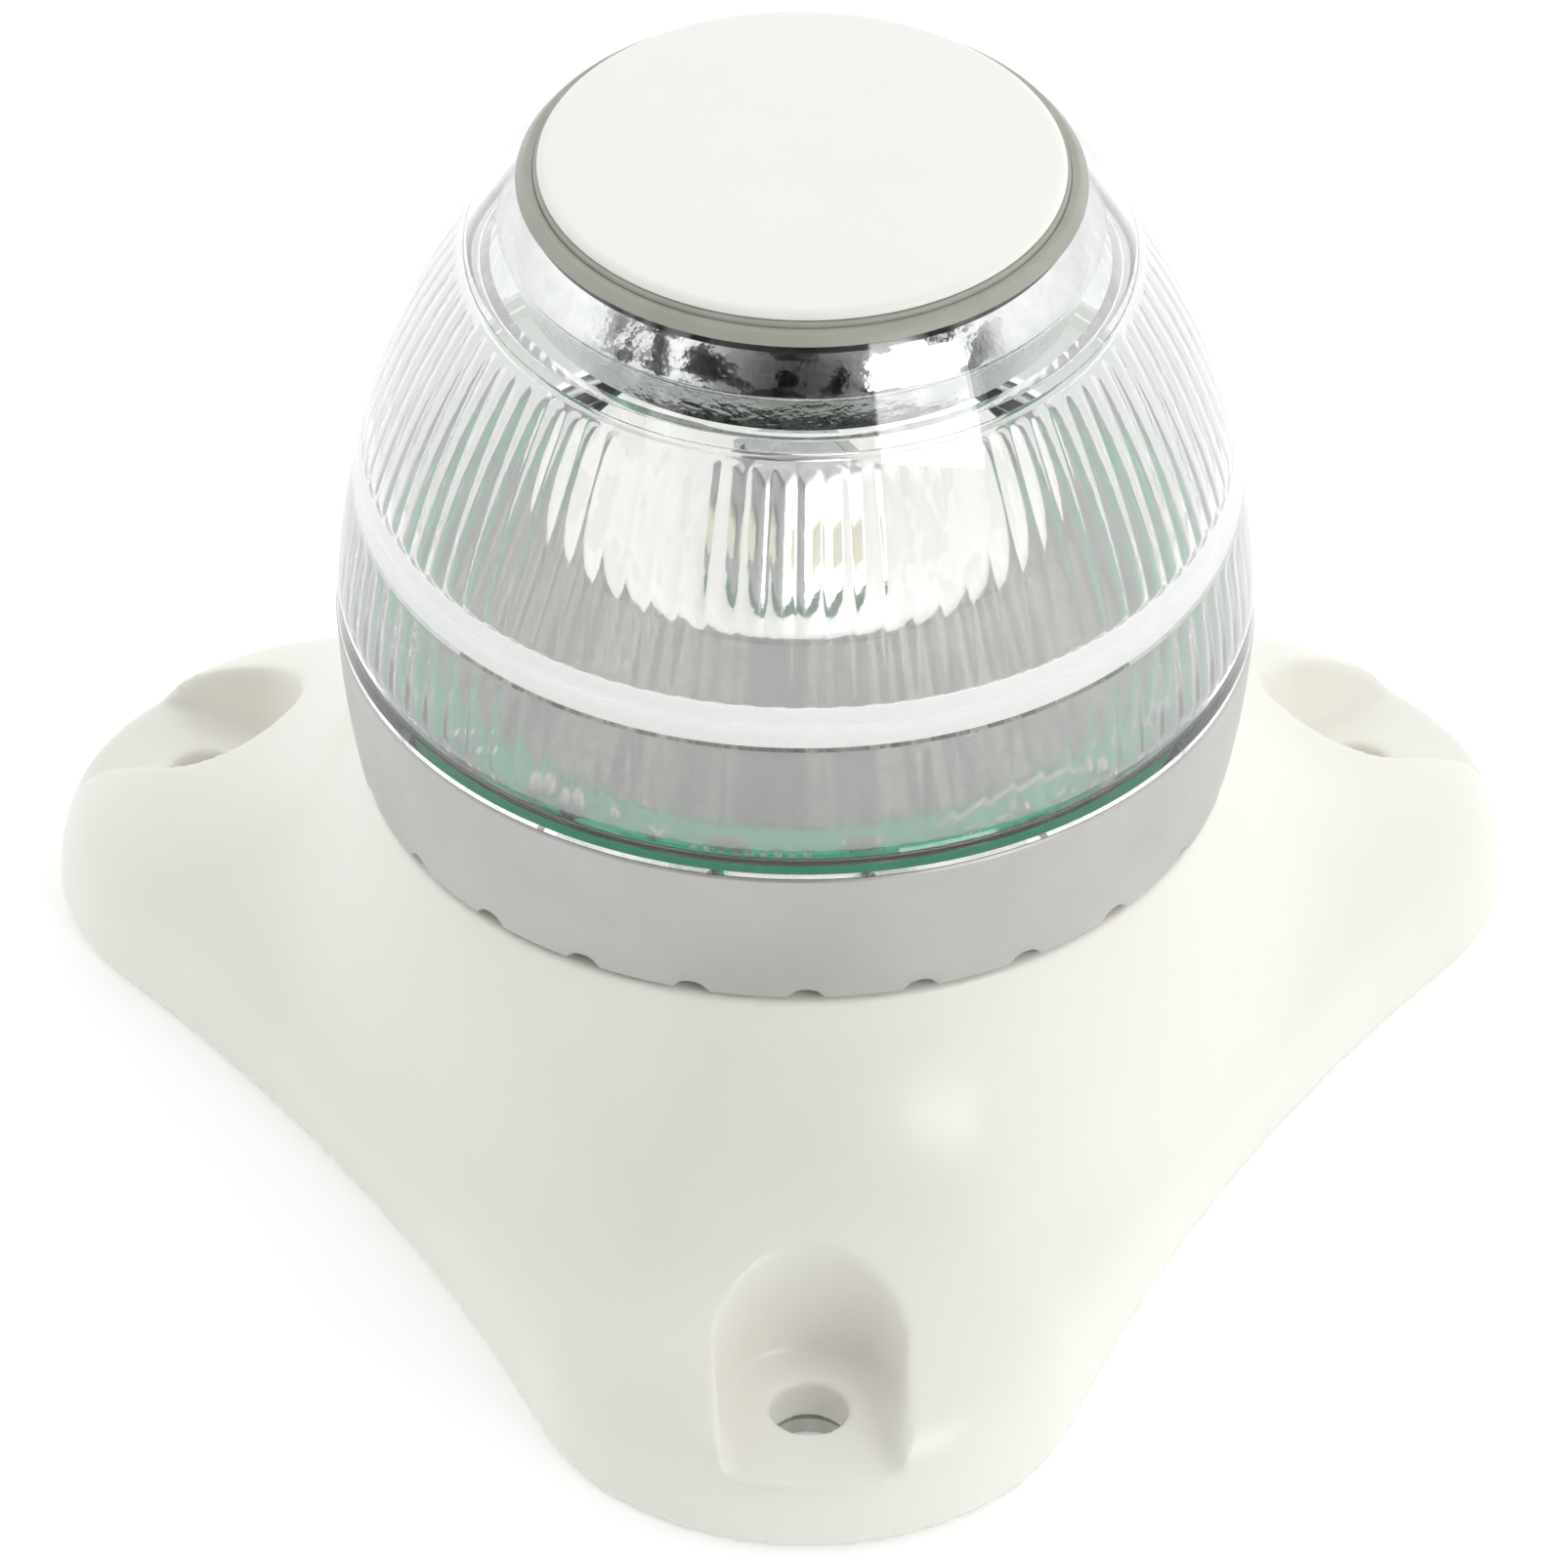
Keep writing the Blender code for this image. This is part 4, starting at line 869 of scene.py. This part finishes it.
def box_points(centre, size, direction):
    """Corners of a small box that lies along the ring at one direction, with a narrower top."""
    turn = math.radians(direction)
    along = Vector((-math.sin(turn), math.cos(turn), 0))
    across = Vector((math.cos(turn), math.sin(turn), 0))
    corners = []
    for level, share in ((0, 1.0), (0.75, 1.0), (1.0, 0.82)):
        for a, b in ((-1, -1), (1, -1), (1, 1), (-1, 1)):
            flat = along * a * size[0] / 2 * share + across * b * size[1] / 2 * share
            corners.append(centre + flat + Vector((0, 0, level * size[2])))
    return corners


def box_cluster(name, boxes, finish):
    """Small boxes on the board: (radius on the board, direction, size)."""
    vertices, faces = [], []
    for radius, direction, size in boxes:
        start = len(vertices)
        centre = Vector((*polar(radius * MM, direction), BOARD_TOP_Z))
        vertices += box_points(centre, [v * MM for v in size], direction)
        faces.append([start + i for i in (3, 2, 1, 0)])
        faces.append([start + i for i in (8, 9, 10, 11)])
        for low in (start, start + 4):
            for i in range(4):
                k = (i + 1) % 4
                faces.append([low + i, low + k, low + 4 + k, low + 4 + i])
    mesh = bpy.data.meshes.new(name)
    mesh.from_pydata([tuple(v) for v in vertices], [], faces)
    obj = object_of(name, mesh, finish)
    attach(obj, "base")


def blob_cluster(name, blobs, finish):
    """Flattened drops of solder: (radius on the board, direction, width, height)."""
    bm = bmesh.new()
    for radius, direction, width, height in blobs:
        place = Matrix.Translation((*polar(radius * MM, direction), BOARD_TOP_Z))
        shape = Matrix.Diagonal((width * MM / 2, width * MM / 2, height * MM, 1))
        made = bmesh.ops.create_icosphere(bm, subdivisions=3, radius=1.0, matrix=place @ shape)
        for vertex in made["verts"]:
            vertex.co.z = max(vertex.co.z, BOARD_TOP_Z - 0.02 * MM)
    mesh = bpy.data.meshes.new(name)
    bm.to_mesh(mesh)
    bm.free()
    mesh.shade_smooth()
    obj = object_of(name, mesh, finish)
    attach(obj, "base")


def make_board_details():
    """Small chips, printed ticks, solder and two thin wires on the visible rim of the board."""
    box_cluster("board_chips", [(CHIP_R, a, CHIP_SIZE) for a in CHIP_DIRECTIONS], "grey_part")
    metal = [(CHIP_R, a + side * CHIP_END_TURN, CHIP_END_SIZE)
             for a in CHIP_DIRECTIONS for side in (-1, 1)]
    metal += [(TICK_R, a, TICK_SIZE) for a in np.arange(*TICK_DIRECTIONS)]
    metal += [(PAD_R, a, PAD_SIZE) for a in PAD_DIRECTIONS]
    box_cluster("board_pads", metal, "solder")
    blob_cluster("board_solder", SOLDER, "solder")
    for number, (start, end, lift, reach) in enumerate(WIRES, 1):
        route = []
        for i in range(25):
            t = i / 24
            bow = math.sin(math.pi * t)
            route.append((*polar((WIRE_R + reach * bow) * MM, start + (end - start) * t),
                          BOARD_TOP_Z + (0.3 + lift * bow) * MM))
        wire = tube(f"board_wire_{number}", route, WIRE_THICKNESS, "white_wire")
        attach(wire, "base")


def tube(name, route, radius, finish):
    """Round wire along a route of points."""
    sides = 10
    points = [Vector(p) for p in route]
    rings = []
    for i, point in enumerate(points):
        ahead = (points[min(i + 1, len(points) - 1)] - points[max(i - 1, 0)]).normalized()
        side = ahead.cross(Vector((0, 0, 1))).normalized()
        up = side.cross(ahead)
        rings.append([
            tuple(point + radius * (math.cos(a) * side + math.sin(a) * up))
            for a in (2 * math.pi * k / sides for k in range(sides))
        ])
    return ring_mesh(name, rings, finish, closed=False)


# ---------------------------------------------------------------- studio


def make_floor_and_light():
    """Plain floor, a pale sky with a dark irregular patch behind the camera, and one softbox."""
    bpy.ops.mesh.primitive_plane_add(size=FLOOR_SIZE, location=(0, 0, FLOOR_Z))
    floor = bpy.context.object
    floor.name = "studio_floor"
    floor.data.materials.append(surface(
        "studio_floor", (0.93, 0.93, 0.93), (0.945, 0.945, 0.945), (0.85, 0.95), patch_mm=60,
        grain_mm=2, bump=0.0, Emission_Color=(1, 1, 1, 1), Emission_Strength=0.22))

    world = bpy.data.worlds.new("studio")
    bpy.context.scene.world = world
    world.use_nodes = True
    tree = world.node_tree
    where = tree.nodes.new("ShaderNodeTexCoord")
    split = tree.nodes.new("ShaderNodeSeparateXYZ")
    tree.links.new(where.outputs["Generated"], split.inputs["Vector"])
    sky = ramp(tree, split.outputs["Z"], SKY)
    beside = tree.nodes.new("ShaderNodeVectorMath")
    beside.operation = "DOT_PRODUCT"
    beside.inputs[1].default_value = DARK_SIDE
    tree.links.new(where.outputs["Generated"], beside.inputs[0])
    front = ramp(tree, beside.outputs["Value"], DARK_SPOT)
    shapes = ramp(tree, noise(tree, where.outputs["Generated"], PATCH_SIZE, 2.0, 0.6), PATCHES)
    near = ramp(tree, beside.outputs["Value"], PATCH_REACH)
    room = multiplied(tree, (1, 1, 1, 1), shapes, near)
    shaded = multiplied(tree, multiplied(tree, sky, front), room)
    tree.links.new(shaded, tree.nodes["Background"].inputs["Color"])
    tree.nodes["Background"].inputs["Strength"].default_value = WORLD_STRENGTH

    add_area("key_softbox", azimuth=-48.8, elevation=27, distance=1.2, size=(0.64, 0.34),
             watts=3.3, tilt=-17)


def add_area(name, azimuth, elevation, distance, size, watts, tilt):
    """Area light at a direction in degrees and a distance from LIGHT_AIM, turned towards it."""
    light = bpy.data.lights.new(name, "AREA")
    light.shape = "RECTANGLE"
    light.size, light.size_y = size
    light.energy = watts
    obj = bpy.data.objects.new(name, light)
    bpy.context.scene.collection.objects.link(obj)
    flat = polar(1, azimuth)
    up = math.radians(elevation)
    towards = Vector((flat[0] * math.cos(up), flat[1] * math.cos(up), math.sin(up)))
    turn = towards.to_track_quat("Z", "Y").to_matrix().to_4x4()
    roll = Matrix.Rotation(math.radians(tilt), 4, "Z")
    place = Vector(LIGHT_AIM) + towards * distance
    obj.matrix_world = Matrix.Translation(place) @ turn @ roll


def make_camera():
    """Camera at the photograph's viewing angle."""
    camera = bpy.data.cameras.new("camera")
    camera.sensor_width = CAMERA_SENSOR_MM
    camera.lens = CAMERA_FOCAL_MM
    camera.clip_start, camera.clip_end = 0.01, 20.0
    obj = bpy.data.objects.new("camera", camera)
    bpy.context.scene.collection.objects.link(obj)
    eye = Vector(CAMERA_EYE)
    roll = math.radians(CAMERA_ROLL_DEG)
    ahead = (Vector(CAMERA_TARGET) - eye).normalized()
    right = ahead.cross(Vector((0, 0, 1))).normalized()
    up = right.cross(ahead)
    x_axis = math.cos(roll) * right + math.sin(roll) * up
    y_axis = -math.sin(roll) * right + math.cos(roll) * up
    obj.matrix_world = Matrix((
        (x_axis.x, y_axis.x, -ahead.x, eye.x),
        (x_axis.y, y_axis.y, -ahead.y, eye.y),
        (x_axis.z, y_axis.z, -ahead.z, eye.z),
        (0, 0, 0, 1),
    ))
    bpy.context.scene.camera = obj


# ---------------------------------------------------------------- carried-over nodes

FINISH_OF_NODE = {
    "deck_gasket": "foam", "threaded_neck": "white_shell", "neck_o_ring": "rubber",
    "cable_grommet": "rubber", "circuit_board": "board_green", "capacitor": "grey_part",
    "inductor": "black_part", "driver_chip": "black_part", "diode": "black_part",
    "led_tower": "tower_metal", "terminal_block": "grey_part", "positive_lead": "red_wire",
    "negative_lead": "black_wire", "cap_seal": "rubber",
}
for prefix, finish, count in (("led_board_", "board_white", 4), ("led_", "phosphor", 4),
                              ("neck_screw_", "screw_metal", 3), ("board_screw_", "screw_metal", 3),
                              ("terminal_screw_", "screw_metal", 2)):
    for number in range(1, count + 1):
        FINISH_OF_NODE[f"{prefix}{number}"] = finish
# Painted light: the LED board facing the softbox gets the emitting finish.
FINISH_OF_NODE["led_board_1"] = "board_face_painted_lit"
# Painted shade: this LED board face is grey to stand in for the shade on the tower's far side.
FINISH_OF_NODE["led_board_4"] = "grey_part"


def finish_nodes():
    """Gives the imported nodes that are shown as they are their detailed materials."""
    for name, finish in FINISH_OF_NODE.items():
        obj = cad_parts[name]
        obj.data.materials.clear()
        obj.data.materials.append(MATERIALS[finish])


make_camera()
make_base()
make_collar()
make_lens()
make_cap()
make_top_reflector()
make_lower_reflector()
make_board_details()
finish_nodes()
make_floor_and_light()
bpy.context.scene.view_settings.view_transform = "Standard"
